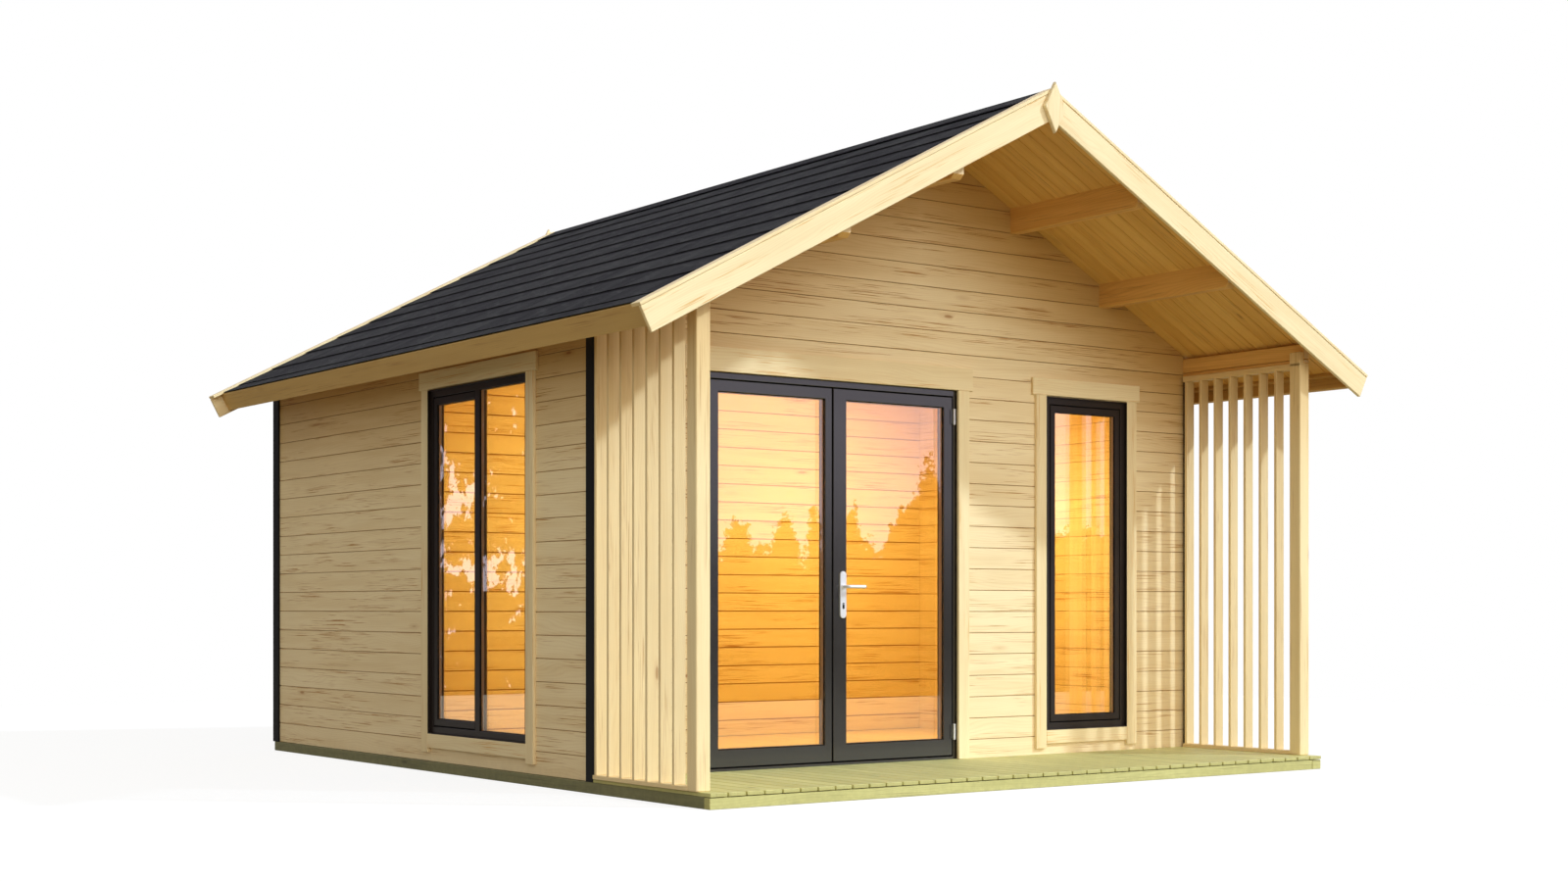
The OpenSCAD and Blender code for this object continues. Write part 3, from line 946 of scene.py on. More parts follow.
class Finish(Enum):
    """The house's finishes, each with its slot in the record."""

    # The logs turn orange brown close under the roof: painted shade.
    LOG = ("pine", Wood("wall_logs", (0.97, 0.80, 0.50), (0.79, 0.57, 0.28), (0.52, 0.25, 0.06),
                        figure=0.62, streaks=1.0, knots=0.7, variation=0.16, painted_shade=1.0))
    # The tongues are painted dark brown as the shade deep in the grooves, and turn orange brown close under
    # the roof as painted shade.
    JOINT = ("pine", Wood("log_joints", (0.42, 0.20, 0.05), (0.30, 0.135, 0.03), (0.20, 0.10, 0.03),
                          figure=0.5, streaks=0.2, knots=0.1, painted_shade=0.8))
    BOARD = ("pine", Wood("planed_boards", (0.95, 0.79, 0.48), (0.78, 0.57, 0.28), (0.72, 0.39, 0.10),
                          figure=0.62, streaks=0.9, knots=0.7, variation=0.16))
    # The eave boards turn orange brown close under the roof: painted shade.
    EAVE = ("pine", Wood("eave_wood", (0.93, 0.76, 0.44), (0.74, 0.54, 0.27), (0.50, 0.27, 0.09),
                         figure=0.60, streaks=0.6, knots=0.7, variation=0.16, painted_shade=1.0))
    # The roof boards seen from below are a darker, deeper orange copy of the pine: painted shade and bounced
    # light.
    SOFFIT = ("pine", Wood("roof_boards", (0.90, 0.56, 0.16), (0.68, 0.35, 0.065), (0.36, 0.16, 0.03),
                           figure=0.65, streaks=0.6, knots=0.6, variation=0.35))
    # Purlins and plate beams are a darker orange copy of the pine as painted shade, with pale end cuts as
    # painted sunlight.
    PURLIN = ("pine", Wood("roof_beams", (0.86, 0.51, 0.15), (0.62, 0.30, 0.06), (0.36, 0.16, 0.03),
                           figure=0.7, streaks=0.6, knots=0.5, variation=0.25, cut=(1.0, 0.92, 0.68)))
    # Posts, beams and fins turn orange brown close under the roof: painted shade.
    BEAM = ("pine", Wood("porch_wood", (0.97, 0.79, 0.46), (0.83, 0.60, 0.28), (0.52, 0.27, 0.08),
                         figure=0.55, streaks=0.6, knots=0.6, variation=0.2, painted_shade=0.6))
    DECK = ("treated_wood", Wood("treated_boards", (0.74, 0.70, 0.29), (0.52, 0.48, 0.17), (0.24, 0.20, 0.07),
                                 figure=0.6, streaks=0.5, knots=0.7, variation=0.35, splash=0.3,
                                 patches=0.15))
    # The side and inner bearers are a darker copy of the deck's treated wood: painted shade.
    BEARER = ("treated_wood", Wood("treated_bearers", (0.28, 0.265, 0.12), (0.16, 0.155, 0.065),
                                   (0.10, 0.09, 0.04), figure=0.6, streaks=0.5, knots=0.6, variation=0.3,
                                   splash=0.4, patches=0.2))
    SHINGLE = ("roof_shingle", Felt("bitumen_shingles", (0.008, 0.0085, 0.009), (0.048, 0.049, 0.048),
                                    (0.001, 0.001, 0.001)))
    TRIM = ("black_trim", Coated("trim_paint", (0.005, 0.005, 0.005), (0.02, 0.018, 0.016),
                                 rough=0.6, gloss=0.3))
    FRAME = ("anthracite_frame", Coated("door_paint", (0.026, 0.023, 0.021), (0.07, 0.06, 0.052),
                                        rough=0.15, gloss=0.9))
    SHADE = ("anthracite_frame", Coated("window_frame", (0.019, 0.012, 0.009), (0.05, 0.04, 0.03),
                                        rough=0.36, gloss=0.4))
    SEAL = ("anthracite_frame", Coated("rubber_seal", (0.003, 0.003, 0.003), (0.015, 0.015, 0.015),
                                       rough=0.8, peel=500.0, gloss=0.2))
    # The spacers are pale, and brighter still as painted light, since little light reaches them through the
    # panes.
    SPACER = ("steel", Coated("pane_spacer", (0.92, 0.66, 0.48), (0.7, 0.5, 0.36), rough=0.5, peel=300.0))
    STEEL = ("steel", Coated("satin_steel", (0.88, 0.88, 0.90), (0.62, 0.61, 0.6), rough=0.42, dusty=0.08,
                             metallic=0.55, peel=1500.0))
    PANE = ("glazing", Glass("warm_pane", (1.0, 0.95, 0.85), 1.95))

    def __init__(self, slot: str, look: Wood | Coated | Felt | Glass) -> None:
        """Holds a finish's two parts.

        Args:
            slot: name of the record's slot.
            look: how it looks.
        """
        self.slot = slot
        self.look = look

    def material(self) -> bpy.types.Material:
        """The finish's material, made when first asked for."""
        known = bpy.data.materials.get(self.look.name)
        return known or dressed(self.look.name, self.look.inputs)


SHARP_FROM = math.radians(35)


def put(
    name: str,
    skins: Skin | Sequence[Skin],
    finish: Finish,
    stands_for: Sequence[str] = (),
    body: str = "house",
    smooth: bool = False,
) -> bpy.types.Object:
    """Makes one piece of skins, dresses it and sets it on its body.

    Args:
        name: name of the piece.
        skins: its skin, or several.
        finish: its finish.
        stands_for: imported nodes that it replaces.
        body: body that it rides on.
        smooth: whether shallow edges are shaded round.

    Returns:
        The piece.
    """
    skin = skins if isinstance(skins, Skin) else joined(skins)
    mesh = bpy.data.meshes.new(name)
    mesh.from_pydata(skin.points.tolist(), [], [face for block in skin.faces for face in block.tolist()])
    grain = np.concatenate([block.reshape(-1, 2) for block in skin.grain])
    mesh.uv_layers.new(name="grain").data.foreach_set("uv", grain.ravel())
    mark = np.concatenate([block.reshape(-1, 3) for block in skin.mark])
    rgba = np.concatenate([mark, np.ones((len(mark), 1))], 1)
    mesh.color_attributes.new("mark", "FLOAT_COLOR", "CORNER").data.foreach_set("color", rgba.ravel())
    mesh.materials.append(finish.material())
    if smooth:
        mesh.shade_smooth()
        mesh.set_sharp_from_angle(angle=SHARP_FROM)
    piece = bpy.data.objects.new(name, mesh)
    bpy.context.scene.collection.objects.link(piece)
    if stands_for:
        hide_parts(*stands_for)
    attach(piece, body)
    log.info("%s: %d faces on %s", name, len(mesh.polygons), body)
    return piece


# ---------------------------------------------------------------- the house


@dataclass(frozen=True)
class Plan:
    """Places that several assemblies share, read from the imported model."""

    front_y: float
    back_y: float
    part_y: float
    wall_x: float
    wall_t: float
    base_h: float
    deck_z: float
    log_top: float
    ridge_z: float
    roof_half: float
    roof_y: float
    post_x: float
    slope: float = 0.525
    cover_t: float = 0.016
    roof_t: float = 0.015
    play: float = 0.0003

    @classmethod
    def measured(cls) -> "Plan":
        """Reads the plan from the nodes' boxes."""
        wall_x, wall_y, wall_z = spans("front_wall_right")
        barge_x, barge_y, barge_z = spans("bargeboards_back")
        return cls(
            front_y=wall_y[0], back_y=spans("back_wall")[1][1], part_y=spans("partition_top")[1][0],
            wall_x=wall_x[1], wall_t=wall_y[1] - wall_y[0], base_h=spans("base_frame")[2][1],
            deck_z=spans("porch_deck")[2][1], log_top=wall_z[1], ridge_z=barge_z[1],
            roof_half=barge_x[1], roof_y=barge_y[1], post_x=spans("post_right")[0][1],
        )

    @property
    def tilt(self) -> float:
        """Angle of the roof, in radians."""
        return math.atan(self.slope)

    @property
    def roof_top(self) -> float:
        """Depth of the roof boards' top below the cover boards' top, square to both."""
        return self.cover_t + self.play

    def slope_axes(self, side: int) -> tuple[Array, Array]:
        """Directions down one slope of the roof and square out of it.

        Args:
            side: 1 on the right and -1 on the left.

        Returns:
            The two directions.
        """
        c, s = math.cos(self.tilt), math.sin(self.tilt)
        return np.array([side * c, 0, -s]), np.array([side * s, 0, c])

    def under(self, x: float) -> float:
        """Height of the underside of the roof boards at a distance from the ridge.

        Args:
            x: distance from the ridge.

        Returns:
            The height.
        """
        return self.ridge_z - (self.roof_top + self.roof_t) / math.cos(self.tilt) - self.slope * abs(x)

    def reach(self, z: Array) -> Array:
        """Distance from the ridge at which the roof boards' underside is at a height.

        Args:
            z: the heights.

        Returns:
            The distances.
        """
        return np.maximum((self.under(0.0) - z) / self.slope, 0.0)

    def on(self, face: Face) -> Callable[[Array], Array]:
        """Function that puts points (across, depth, up) on a wall.

        Args:
            face: the wall.

        Returns:
            The function.
        """

        def place(points: Array) -> Array:
            """Places points given as (across, depth behind the wall's face, up)."""
            a, d, z = np.moveaxis(points, -1, 0)
            if face is Face.FRONT:
                return np.stack([a, self.front_y + d, z], -1)
            return np.stack([d - self.wall_x, a, z], -1)

        return place


@dataclass
class Base:
    """Bearers, porch deck and room floor."""

    plan: Plan
    bearers: int = 11
    bearer_w: float = 0.045
    bearer_edge: float = 0.002
    deck_boards: int = 41
    deck_gap: float = 0.009
    nosing: float = 0.004
    floor_boards: int = 42
    floor_gap: float = 0.0012
    end_piece: float = 0.068
    end_joint: float = 0.0024

    def build(self) -> None:
        """Makes the base's pieces."""
        self.frame()
        self.deck()
        self.floor()

    def frame(self) -> None:
        """Bearers across the house, one along each side, and the porch's edge with its end piece."""
        w, soft = self.bearer_w, self.bearer_edge
        x, y, _ = spans("base_frame")
        z = (0.0, self.plan.base_h)
        start = np.linspace(y[0], y[1] - w, self.bearers)[1:]
        inner = x[1] - w
        cross = square_boards((-inner, inner), (start, start + w), z, Grain.X, soft, seed=11)
        sides = square_boards(([x[0], inner], [-inner, x[1]]), (y[0] + w, y[1]), z, Grain.Y, soft, seed=12)
        put("base_bearers", [cross, sides], Finish.BEARER, ["base_frame"])
        split, half = x[1] - self.end_piece, self.end_joint / 2
        ends = ([x[0], split + half], [split - half, x[1]])
        edge = square_boards(ends, (y[0], y[0] + w), (0.0, z[1] - self.nosing), Grain.X, soft, seed=13)
        put("porch_edge", edge, Finish.DECK)

    def deck(self) -> None:
        """Deck boards along the depth, and the board under the door."""
        p = self.plan
        x, y, z = spans("porch_deck")
        strips = side_by_side(x, self.deck_boards, self.deck_gap)
        laid = square_boards(strips, (y[0], p.front_y), z, Grain.Y, chamfer=0.0016, seed=21)
        door = spans("door_frame")[0]
        under = square_boards(door, (p.front_y, p.front_y + p.wall_t), z, Grain.X, chamfer=0.001, seed=22)
        put("porch_boards", [laid, under], Finish.DECK, ["porch_deck"])

    def floor(self) -> None:
        """Floor boards of the rooms."""
        x, y, z = spans("hut_floor")
        strips = side_by_side(x, self.floor_boards, self.floor_gap)
        laid = square_boards(strips, y, z, Grain.Y, chamfer=0.0014, seed=31)
        put("room_floor", laid, Finish.BOARD, ["hut_floor"])


@dataclass(frozen=True)
class Wall:
    """One log wall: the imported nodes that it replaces, its place, and its holes.

    A hole is (start, end, foot, top). The ends follow the roof where the wall is under it.
    """

    name: str
    nodes: Sequence[str]
    span: Span
    height: Span
    depth: Span
    grain: Grain
    seed: int
    holes: Sequence[tuple[float, float, float, float]] = ()
    under_roof: bool = False
    gap: float = 0.0034


@dataclass
class LogWalls:
    """Walls of stacked logs with grooved joints."""

    plan: Plan
    pitch: float = 0.114
    joint: float = 0.170
    room_gap: float = 0.0065
    chamfer: float = 0.0013
    groove: float = 0.006
    tongue_h: float = 0.024
    tongue_chamfer: float = 0.0004
    doorway: Span = (-1.04, -0.24)
    lowest_log: float = 0.01
    lowest_strip: float = 0.008
    shortest_log: float = 0.03

    def strips(self, wall: Wall) -> Array:
        """Places of a wall's logs: its courses, cut where they meet a hole.

        Args:
            wall: the wall.

        Returns:
            One row for each log: start, end, foot and top.
        """
        foot, top = wall.height
        joints = np.arange(self.joint, top - self.lowest_log, self.pitch)
        level = [foot, *joints[joints > foot + self.lowest_log], top]
        logs: list[tuple[float, float, float, float]] = []
        for low, high in zip(level[:-1], level[1:]):
            cutting = [h for h in wall.holes if h[2] < high and h[3] > low]
            sides = (float(np.clip(a, *wall.span)) for h in cutting for a in h[:2])
            marks = sorted({*wall.span, *sides})
            for start, end in zip(marks[:-1], marks[1:]):
                hole = next((h for h in cutting if h[0] < (start + end) / 2 < h[1]), None)
                if hole is None:
                    logs.append((start, end, low, high))
                    continue
                left = ((low, hole[2]), (hole[3], high))
                logs += [(start, end, *rest) for rest in left if rest[1] - rest[0] > self.lowest_strip]
        return np.array(logs)

    def tongues(self, wall: Wall, logs: Array) -> Array:
        """Places of the tongues in the joints over a wall's logs, but for those over a hole.

        Args:
            wall: the wall.
            logs: the logs' places.

        Returns:
            One row for each tongue: start, end, foot and top.
        """
        start, end, _, top = logs.T
        keep = top < wall.height[1] - 2 * self.lowest_log
        for near, far, foot, head in wall.holes:
            over = top + self.lowest_log
            keep &= ~((near < (start + end) / 2) & ((start + end) / 2 < far) & (foot < over) & (over < head))
        half = self.tongue_h / 2
        return np.stack([start, end, top - half, top + half], 1)[keep]

    def laid(self, wall: Wall, rows: Array, trim: float, back: float, chamfer: float, seed: int) -> Skin:
        """Boards of one wall, with their ends cut along the roof where the wall is under it.

        Args:
            wall: the wall.
            rows: start, end, foot and top of each board.
            trim: height taken off a board's foot and top.
            back: how far the boards lie behind the wall's faces.
            chamfer: size of the chamfer.
            seed: number that sets the boards' tones.

        Returns:
            The boards' skin.
        """
        start, end, foot, top = rows.T
        start, end = np.stack([start, start], 1), np.stack([end, end], 1)
        if wall.under_roof:
            room = self.plan.reach(np.stack([foot, top], 1)) - back
            start, end = np.maximum(start, -room), np.minimum(end, room)
        cuts = np.concatenate([np.diff(start, axis=1), np.diff(end, axis=1)], 1) / (top - foot)[:, None]
        start, end = start.mean(1), end.mean(1)
        keep = end - start > self.shortest_log
        along = UNIT[wall.grain.value]
        axes = np.stack([along, UNIT[2], np.cross(along, UNIT[2])])
        middle = np.outer((start + end) / 2, along) + np.outer((foot + top) / 2, UNIT[2])
        middle += sum(wall.depth) / 2 * UNIT[1 - wall.grain.value]
        thick = np.full(len(rows), wall.depth[1] - wall.depth[0] - 2 * back)
        size = np.stack([end - start, top - foot - 2 * trim, thick], 1)
        return boards(middle[keep], axes, size[keep], chamfer, seed, cuts[keep])

    def walls(self) -> list[Wall]:
        """Every wall of the house.

        Returns:
            The walls, in order.
        """
        p = self.plan
        t, x, x_in, foot = p.wall_t, p.wall_x, p.wall_x - p.wall_t, p.base_h
        door, window, side = (spans(f"{name}_frame") for name in ("door", "front_window", "side_window"))
        front, back, part = (p.front_y, p.front_y + t), (p.back_y - t, p.back_y), (p.part_y, p.part_y + t)
        front_holes = [(*door[0], 0.0, door[2][1]), (*window[0], *window[2])]
        doorway = (*self.doorway, 0.0, spans("partition_top")[2][0])
        ridge = p.under(0)
        return [
            Wall("front", ["front_wall_left", "front_wall_right", "front_wall_over_door"], (-x, x),
                 (foot, p.log_top), front, Grain.X, 101, front_holes),
            Wall("gable", ["front_gable"], (-p.post_x, p.post_x), (p.log_top, ridge), front, Grain.X, 108,
                 under_roof=True),
            Wall("back", ["back_wall"], (-x, x), (foot, ridge), back, Grain.X, 115, under_roof=True),
            Wall("left", ["left_wall"], (front[1], back[0]), (foot, p.under(x)), (-x, -x_in), Grain.Y, 122,
                 [(*side[1], *side[2])]),
            Wall("right", ["right_wall"], (front[1], back[0]), (foot, p.under(x)), (x_in, x), Grain.Y, 129),
            Wall("partition", ["partition_sides", "partition_top"], (-x_in, x_in), (p.deck_z, ridge), part,
                 Grain.X, 136, [doorway], True, self.room_gap),
        ]

    def build(self) -> None:
        """Makes every wall's logs and joints."""
        for wall in self.walls():
            rows = self.strips(wall)
            logs = self.laid(wall, rows, wall.gap / 2, 0.0, self.chamfer, wall.seed)
            between = self.tongues(wall, rows)
            tongues = self.laid(wall, between, 0.0, self.groove, self.tongue_chamfer, wall.seed + 1)
            put(f"{wall.name}_logs", logs, Finish.LOG, wall.nodes)
            put(f"{wall.name}_joints", tongues, Finish.JOINT)


@dataclass
class Roof:
    """Roof boards, shingles, purlins, bargeboards, finials and eave boards."""

    plan: Plan
    lining_w: float = 0.0903
    lining_gap: float = 0.0035
    lining_head: float = 0.007
    courses: tuple[float, ...] = (0.33, 0.568, 0.805, 1.046, 1.287, 1.528, 1.772, 2.013, 2.26, 2.50)
    tab: float = 0.32
    tab_gap: float = 0.0016
    tab_t: float = 0.003
    tab_lift: float = 0.0055
    tab_lap: float = 0.03
    tab_depth: float = 0.0118
    narrowest_tab: float = 0.05
    caps: int = 16
    cap_w: float = 0.15
    cap_depth: Span = (0.0035, 0.0062)
    barge_h: float = 0.139
    barge_t: float = 0.022
    cover_w: float = 0.074
    cover_proud: float = 0.002
    eave_h: float = 0.108
    eave_t: float = 0.020
    eave_in: float = 0.059
    batten: float = 0.022
    purlin_w: float = 0.064
    purlin_foot: Span = (2.903, 2.557)
    purlin_edge: float = 0.004
    purlin_chamfer: float = 0.020
    finial_edge: float = 0.004
    board_edge: float = 0.0022
    barge_edge: float = 0.0025

    @property
    def eave_line(self) -> float:
        """Distance down the slope from the ridge to the eave boards' face."""
        return (self.plan.roof_half - self.eave_in) / math.cos(self.plan.tilt)

    def build(self) -> None:
        """Makes the roof's pieces."""
        for name, side in SIDES:
            self.lining(name, side)
            self.shingles(name, side)
            self.purlins(name, side)
        self.bargeboards("front", -1)
        self.bargeboards("back", 1)
        self.eaves()
        self.finials()
        self.ridge_caps()

    def sloped(
        self, side: int, q: Ends, d: Ends, y: Ends, order: str, chamfer: float, seed: int,
        cuts: Array | None = None,
    ) -> Skin:
        """Boards that lie on one slope of the roof.

        A place on the slope is (q, d, y): q down the slope from the ridge, d below the top of
        the cover boards and square to them, and y along the ridge.

        Args:
            side: 1 on the right and -1 on the left.
            q: ends of the boards on q, numbers or arrays with one number for each board.
            d: the same on d.
            y: the same on y.
            order: the letters q, d and y in the order along, across and out of the boards.
            chamfer: size of the chamfer.
            seed: number that sets the boards' tones.
            cuts: for each board, the slant of its first and last end.

        Returns:
            The boards' skin.
        """
        down, up = self.plan.slope_axes(side)
        start, end = stacked(q, d, y)
        centre = (start + end) / 2 @ np.stack([down, -up, UNIT[1]]) + (0, 0, self.plan.ridge_z)
        size = np.abs(end - start)[:, ["qdy".index(letter) for letter in order]]
        direction = {"q": down, "d": up, "y": UNIT[1]}
        along, across = direction[order[0]], direction[order[1]]
        return boards(centre, np.stack([along, across, np.cross(along, across)]), size, chamfer, seed, cuts)

    def lining(self, name: str, side: int) -> None:
        """Roof boards that run down the slope, seen from below, and the tongues between them.

        Args:
            name: side's name.
            side: 1 on the right and -1 on the left.
        """
        p = self.plan
        top = p.roof_top
        y = spans(f"roof_boards_{name}")[1]
        count = round((y[1] - y[0]) / self.lining_w)
        strips = side_by_side(y, count, self.lining_gap)
        head, end = self.lining_head, self.eave_line - self.eave_t - 0.0004
        thick = (top, top + p.roof_t)
        laid = self.sloped(side, (head, end), thick, strips, "qyd", self.board_edge, 201 + side)
        within = ((head, end - 0.001), (top + 0.0005, top + p.roof_t - 0.007), inside(y, 0.002))
        tongue = self.sloped(side, *within, "qyd", 0.0003, 205 + side)
        put(f"roof_lining_{name}", laid, Finish.SOFFIT, [f"roof_boards_{name}"])
        put(f"roof_joints_{name}", tongue, Finish.JOINT)

    def shingles(self, name: str, side: int) -> None:
        """Courses of shingle tabs, each tilted over the one below.

        Args:
            name: side's name.
            side: 1 on the right and -1 on the left.
        """
        low, high = spans(f"shingles_{name}")[1]
        lines = np.array([0.0, *self.courses, self.eave_line - self.tab_t])
        rng = np.random.default_rng(300 + side)
        rows = []
        for k, (q0, q1) in enumerate(zip(lines[:-1], lines[1:])):
            shift = self.tab * (0.5 * (k % 2) + 0.12 * rng.random())
            cuts = np.arange(low + shift, high, self.tab)
            cuts = cuts + rng.normal(0, 0.012, len(cuts))
            cuts = cuts[(cuts > low + self.narrowest_tab) & (cuts < high - self.narrowest_tab)]
            y = inside((np.array([low, *cuts]), np.array([*cuts, high])), self.tab_gap / 2)
            rows.append(np.stack(np.broadcast_arrays(*y, max(q0 - self.tab_lap, 0.0), q1), 1))
        y0, y1, q0, q1 = np.concatenate(rows).T
        lean = np.arctan2(self.tab_lift, q1 - q0)[:, None]
        down, up = self.plan.slope_axes(side)
        along = np.broadcast_to(UNIT[1], (len(y0), 3))
        across = -(np.cos(lean) * down + np.sin(lean) * up)
        axes = np.stack([along, across, np.cross(along, across)], 1)
        middle = np.outer((q0 + q1) / 2, down) + np.outer((y0 + y1) / 2, UNIT[1])
        centre = middle - self.tab_depth * up + (0, 0, self.plan.ridge_z)
        size = np.stack([y1 - y0, np.hypot(q1 - q0, self.tab_lift), np.full(len(y0), self.tab_t)], 1)
        tabs = boards(centre, axes, size, chamfer=0.0006, seed=310 + side)
        put(f"shingle_courses_{name}", tabs, Finish.SHINGLE, [f"shingles_{name}"])

    def ridge_caps(self) -> None:
        """Shingles folded over the ridge, each pushed a little under the one before it."""
        push = 0.001
        low, high = spans("shingles_left")[1]
        edge = np.linspace(low, high, self.caps + 1) - push
        y = (np.maximum(edge[:-1], low + push), edge[1:])
        cap = ((0.0, self.cap_w), self.cap_depth, y)
        skins = [self.sloped(side, *cap, "yqd", 0.0005, 330) for _, side in SIDES]
        put("ridge_caps", skins, Finish.SHINGLE)

    def purlins(self, name: str, side: int) -> None:
        """Purlins, with their lower end edges cut off at a slant.

        Args:
            name: side's name.
            side: 1 on the right and -1 on the left.
        """
        x, y, _ = spans(f"purlins_{name}")
        w, soft, cut, slant = self.purlin_w, self.purlin_edge, self.purlin_chamfer, 0.002
        near, far = sorted(abs(v) for v in x)
        skins = []
        for k, (start, foot) in enumerate(zip((near, far - w), self.purlin_foot)):
            end = start + w
            across = np.array([start + soft, end - soft, end, end, start, start])
            under = self.plan.under
            up = np.array([foot, foot, foot + soft, under(end), under(start), foot + soft])
            along = np.array([y[0], y[0] + slant, y[0] + cut, y[1] - cut, y[1] - slant, y[1]])
            lift = np.array([cut + slant, cut - slant, 0, 0, cut - slant, cut + slant])
            lower = np.array([1, 1, 1, 0, 0, 1])
            raised = up + lift[:, None] * lower
            rings = np.stack(np.broadcast_arrays(side * across, along[:, None], raised), -1)
            skins.append(sweep(rings, tone=0.35 + 0.3 * k))
        put(f"purlin_pair_{name}", skins, Finish.PURLIN, [f"purlins_{name}"])

    def bargeboards(self, name: str, end: int) -> None:
        """Bargeboards, cut plumb at the ridge and square at the foot, and the boards that cover them.

        Args:
            name: front or back.
            end: -1 at the front and 1 at the back.
        """
        p = self.plan
        length = p.roof_half / math.cos(p.tilt)
        head = (p.cover_t + self.barge_h) / 2 * p.slope
        face, depth = end * p.roof_y, (p.cover_t + 0.0012, self.barge_h)
        y = (face - end * self.cover_proud, face - end * self.barge_t)
        cover = ((0.0, length), (0.0, p.cover_t), (face, face - end * self.cover_w))
        plumb = np.array([[-p.slope, 0.0]])
        skins = []
        for _, side in SIDES:
            seed = 7 * side + end
            skins += [
                self.sloped(side, (head, length), depth, y, "qdy", self.barge_edge, 400 + seed, plumb),
                self.sloped(side, *cover, "qyd", self.board_edge, 420 + seed),
            ]
        put(f"barge_pair_{name}", skins, Finish.BOARD, [f"bargeboards_{name}"])

    def eaves(self) -> None:
        """Boards across the ends of the roof boards, each with a batten inside its upper edge."""
        p = self.plan
        face, top, end = self.eave_line, p.roof_top, p.roof_y - self.barge_t - 0.0002
        back, under = face - self.eave_t, top + p.roof_t + 0.0004
        board = ((back, face), (top, top + self.eave_h), (-end, end), "ydq", self.barge_edge)
        batten = ((back - self.batten, back), (under, under + self.batten), (-end, end), "yqd", 0.002)
        skins = [
            self.sloped(side, *shape, seed + side)
            for shape, seed in ((board, 440), (batten, 446))
            for _, side in SIDES
        ]
        put("eave_pair", skins, Finish.EAVE, ["eave_boards"])

    def finials(self) -> None:
        """Lozenges over the joints of the bargeboards: four corners, with the face's edges chamfered."""
        x, y, z = spans("finials")
        w, middle, h = x[1], sum(z) / 2, (z[1] - z[0]) / 2
        thick = y[1] - self.plan.roof_y
        out = self.plan.roof_y + np.array([0.0, thick - self.finial_edge, thick])[:, None]
        scale = np.array([1.0, 1.0, 0.95])[:, None]
        across, up = scale * np.array([0, w, 0, -w]), middle + scale * np.array([h, 0, -h, 0])
        skins = []
        for end in (-1, 1):
            rings = np.stack(np.broadcast_arrays(across, end * out, up), -1)
            skin = sweep(rings)
            grain = rings[..., [2, 0]].reshape(-1, 2)
            grains, marks = [grain[block] for block in skin.faces], [0 * m for m in skin.mark]
            skins.append(replace(skin, grain=grains, mark=marks))
        put("finial_pair", skins, Finish.BOARD, ["finials"])


@dataclass
class Porch:
    """Posts, plate beams, screens of fins and black corner boards."""

    plan: Plan
    post_w: float = 0.075
    beam_t: float = 0.044
    beam_joint: float = 2.232
    beam_gap: float = 0.0028
    fins: int = 7
    fin_first: float = 0.102
    fin_pitch: float = 0.111
    fin_t: float = 0.018
    rail_h: float = 0.020
    top_rail_h: float = 0.032
    trim_w: float = 0.080
    trim_proud: float = 0.014
    trim_lap: float = 0.030
    play: float = 0.0002

    def build(self) -> None:
        """Makes the porch's pieces."""
        for name, side in SIDES:
            self.post(name, side)
            self.beam(name)
            self.screen(name, side)
        self.trims()

    def post(self, name: str, side: int) -> None:
        """Post with the tongue beside its plate beam.

        Args:
            name: side's name.
            side: 1 on the right and -1 on the left.
        """
        x, y, z = spans(f"post_{name}")
        step = spans(f"plate_beam_{name}")[2][0]
        inner = sorted(side * (self.plan.post_x - less) for less in (self.post_w, self.beam_t))
        tongue_y, tongue_z = inside(y, self.play), (step - 0.02, z[1])
        skins = [
            square_boards(x, y, (z[0], step), Grain.Z, chamfer=0.004, seed=501 + side),
            square_boards(inner, tongue_y, tongue_z, Grain.Z, chamfer=0.003, seed=501 + side),
        ]
        put(f"porch_post_{name}", skins, Finish.BEAM, [f"post_{name}"])

    def beam(self, name: str) -> None:
        """Plate beam, in two boards with a joint between them.

        Args:
            name: side's name.
        """
        x, y, z = spans(f"plate_beam_{name}")
        top = self.plan.under(self.plan.post_x) - 0.0005
        half = self.beam_gap / 2
        heights = ([z[0], self.beam_joint + half], [self.beam_joint - half, top])
        laid = square_boards(x, y, heights, Grain.Y, chamfer=0.0024, seed=511)
        put(f"plate_boards_{name}", laid, Finish.PURLIN, [f"plate_beam_{name}"])

    def screen(self, name: str, side: int) -> None:
        """Upright fins between two rails.

        Args:
            name: side's name.
            side: 1 on the right and -1 on the left.
        """
        x, y, z = spans(f"screen_{name}")
        start = y[0] + self.fin_first + self.fin_pitch * np.arange(self.fins)
        foot, head = z[0] + self.rail_h, z[1] - self.top_rail_h
        fins_y, rails_z = (start, start + self.fin_t), ([z[0], head], [foot, z[1]])
        skins = [
            square_boards(x, fins_y, (foot, head), Grain.Z, chamfer=0.0022, seed=524 + (side > 0)),
            square_boards(x, y, rails_z, Grain.Y, chamfer=0.002, seed=534 + (side > 0)),
        ]
        put(f"screen_fins_{name}", skins, Finish.BEAM, [f"screen_{name}"])

    def trims(self) -> None:
        """Black boards on the house's corners, two in front of the walls' ends."""
        p = self.plan
        x, y, z = spans("corner_trims")
        foot = spans("left_wall")[2][0]
        rows = []
        for _, side in SIDES:
            out = sorted((side * p.wall_x, side * x[1]))
            lap = sorted((side * (x[1] - self.trim_lap), side * x[1]))
            rows += [
                (out, (p.front_y, p.front_y + self.trim_w - self.trim_proud), (foot, z[1])),
                (lap, (y[0], p.front_y - self.play), (p.deck_z, z[1])),
                (out, (y[1] - self.trim_w, y[1]), (foot, z[1])),
            ]
        trims = square_boards(*np.moveaxis(np.array(rows), 0, 2), Grain.Z, chamfer=0.0014, seed=541)
        put("corner_boards", trims, Finish.TRIM, ["corner_trims"])


def shrunk(rect: Rect, less: float) -> Rect:
    """A rectangle made smaller on each side, or larger where less is below zero."""
    return inside(rect[0], less), inside(rect[1], less)


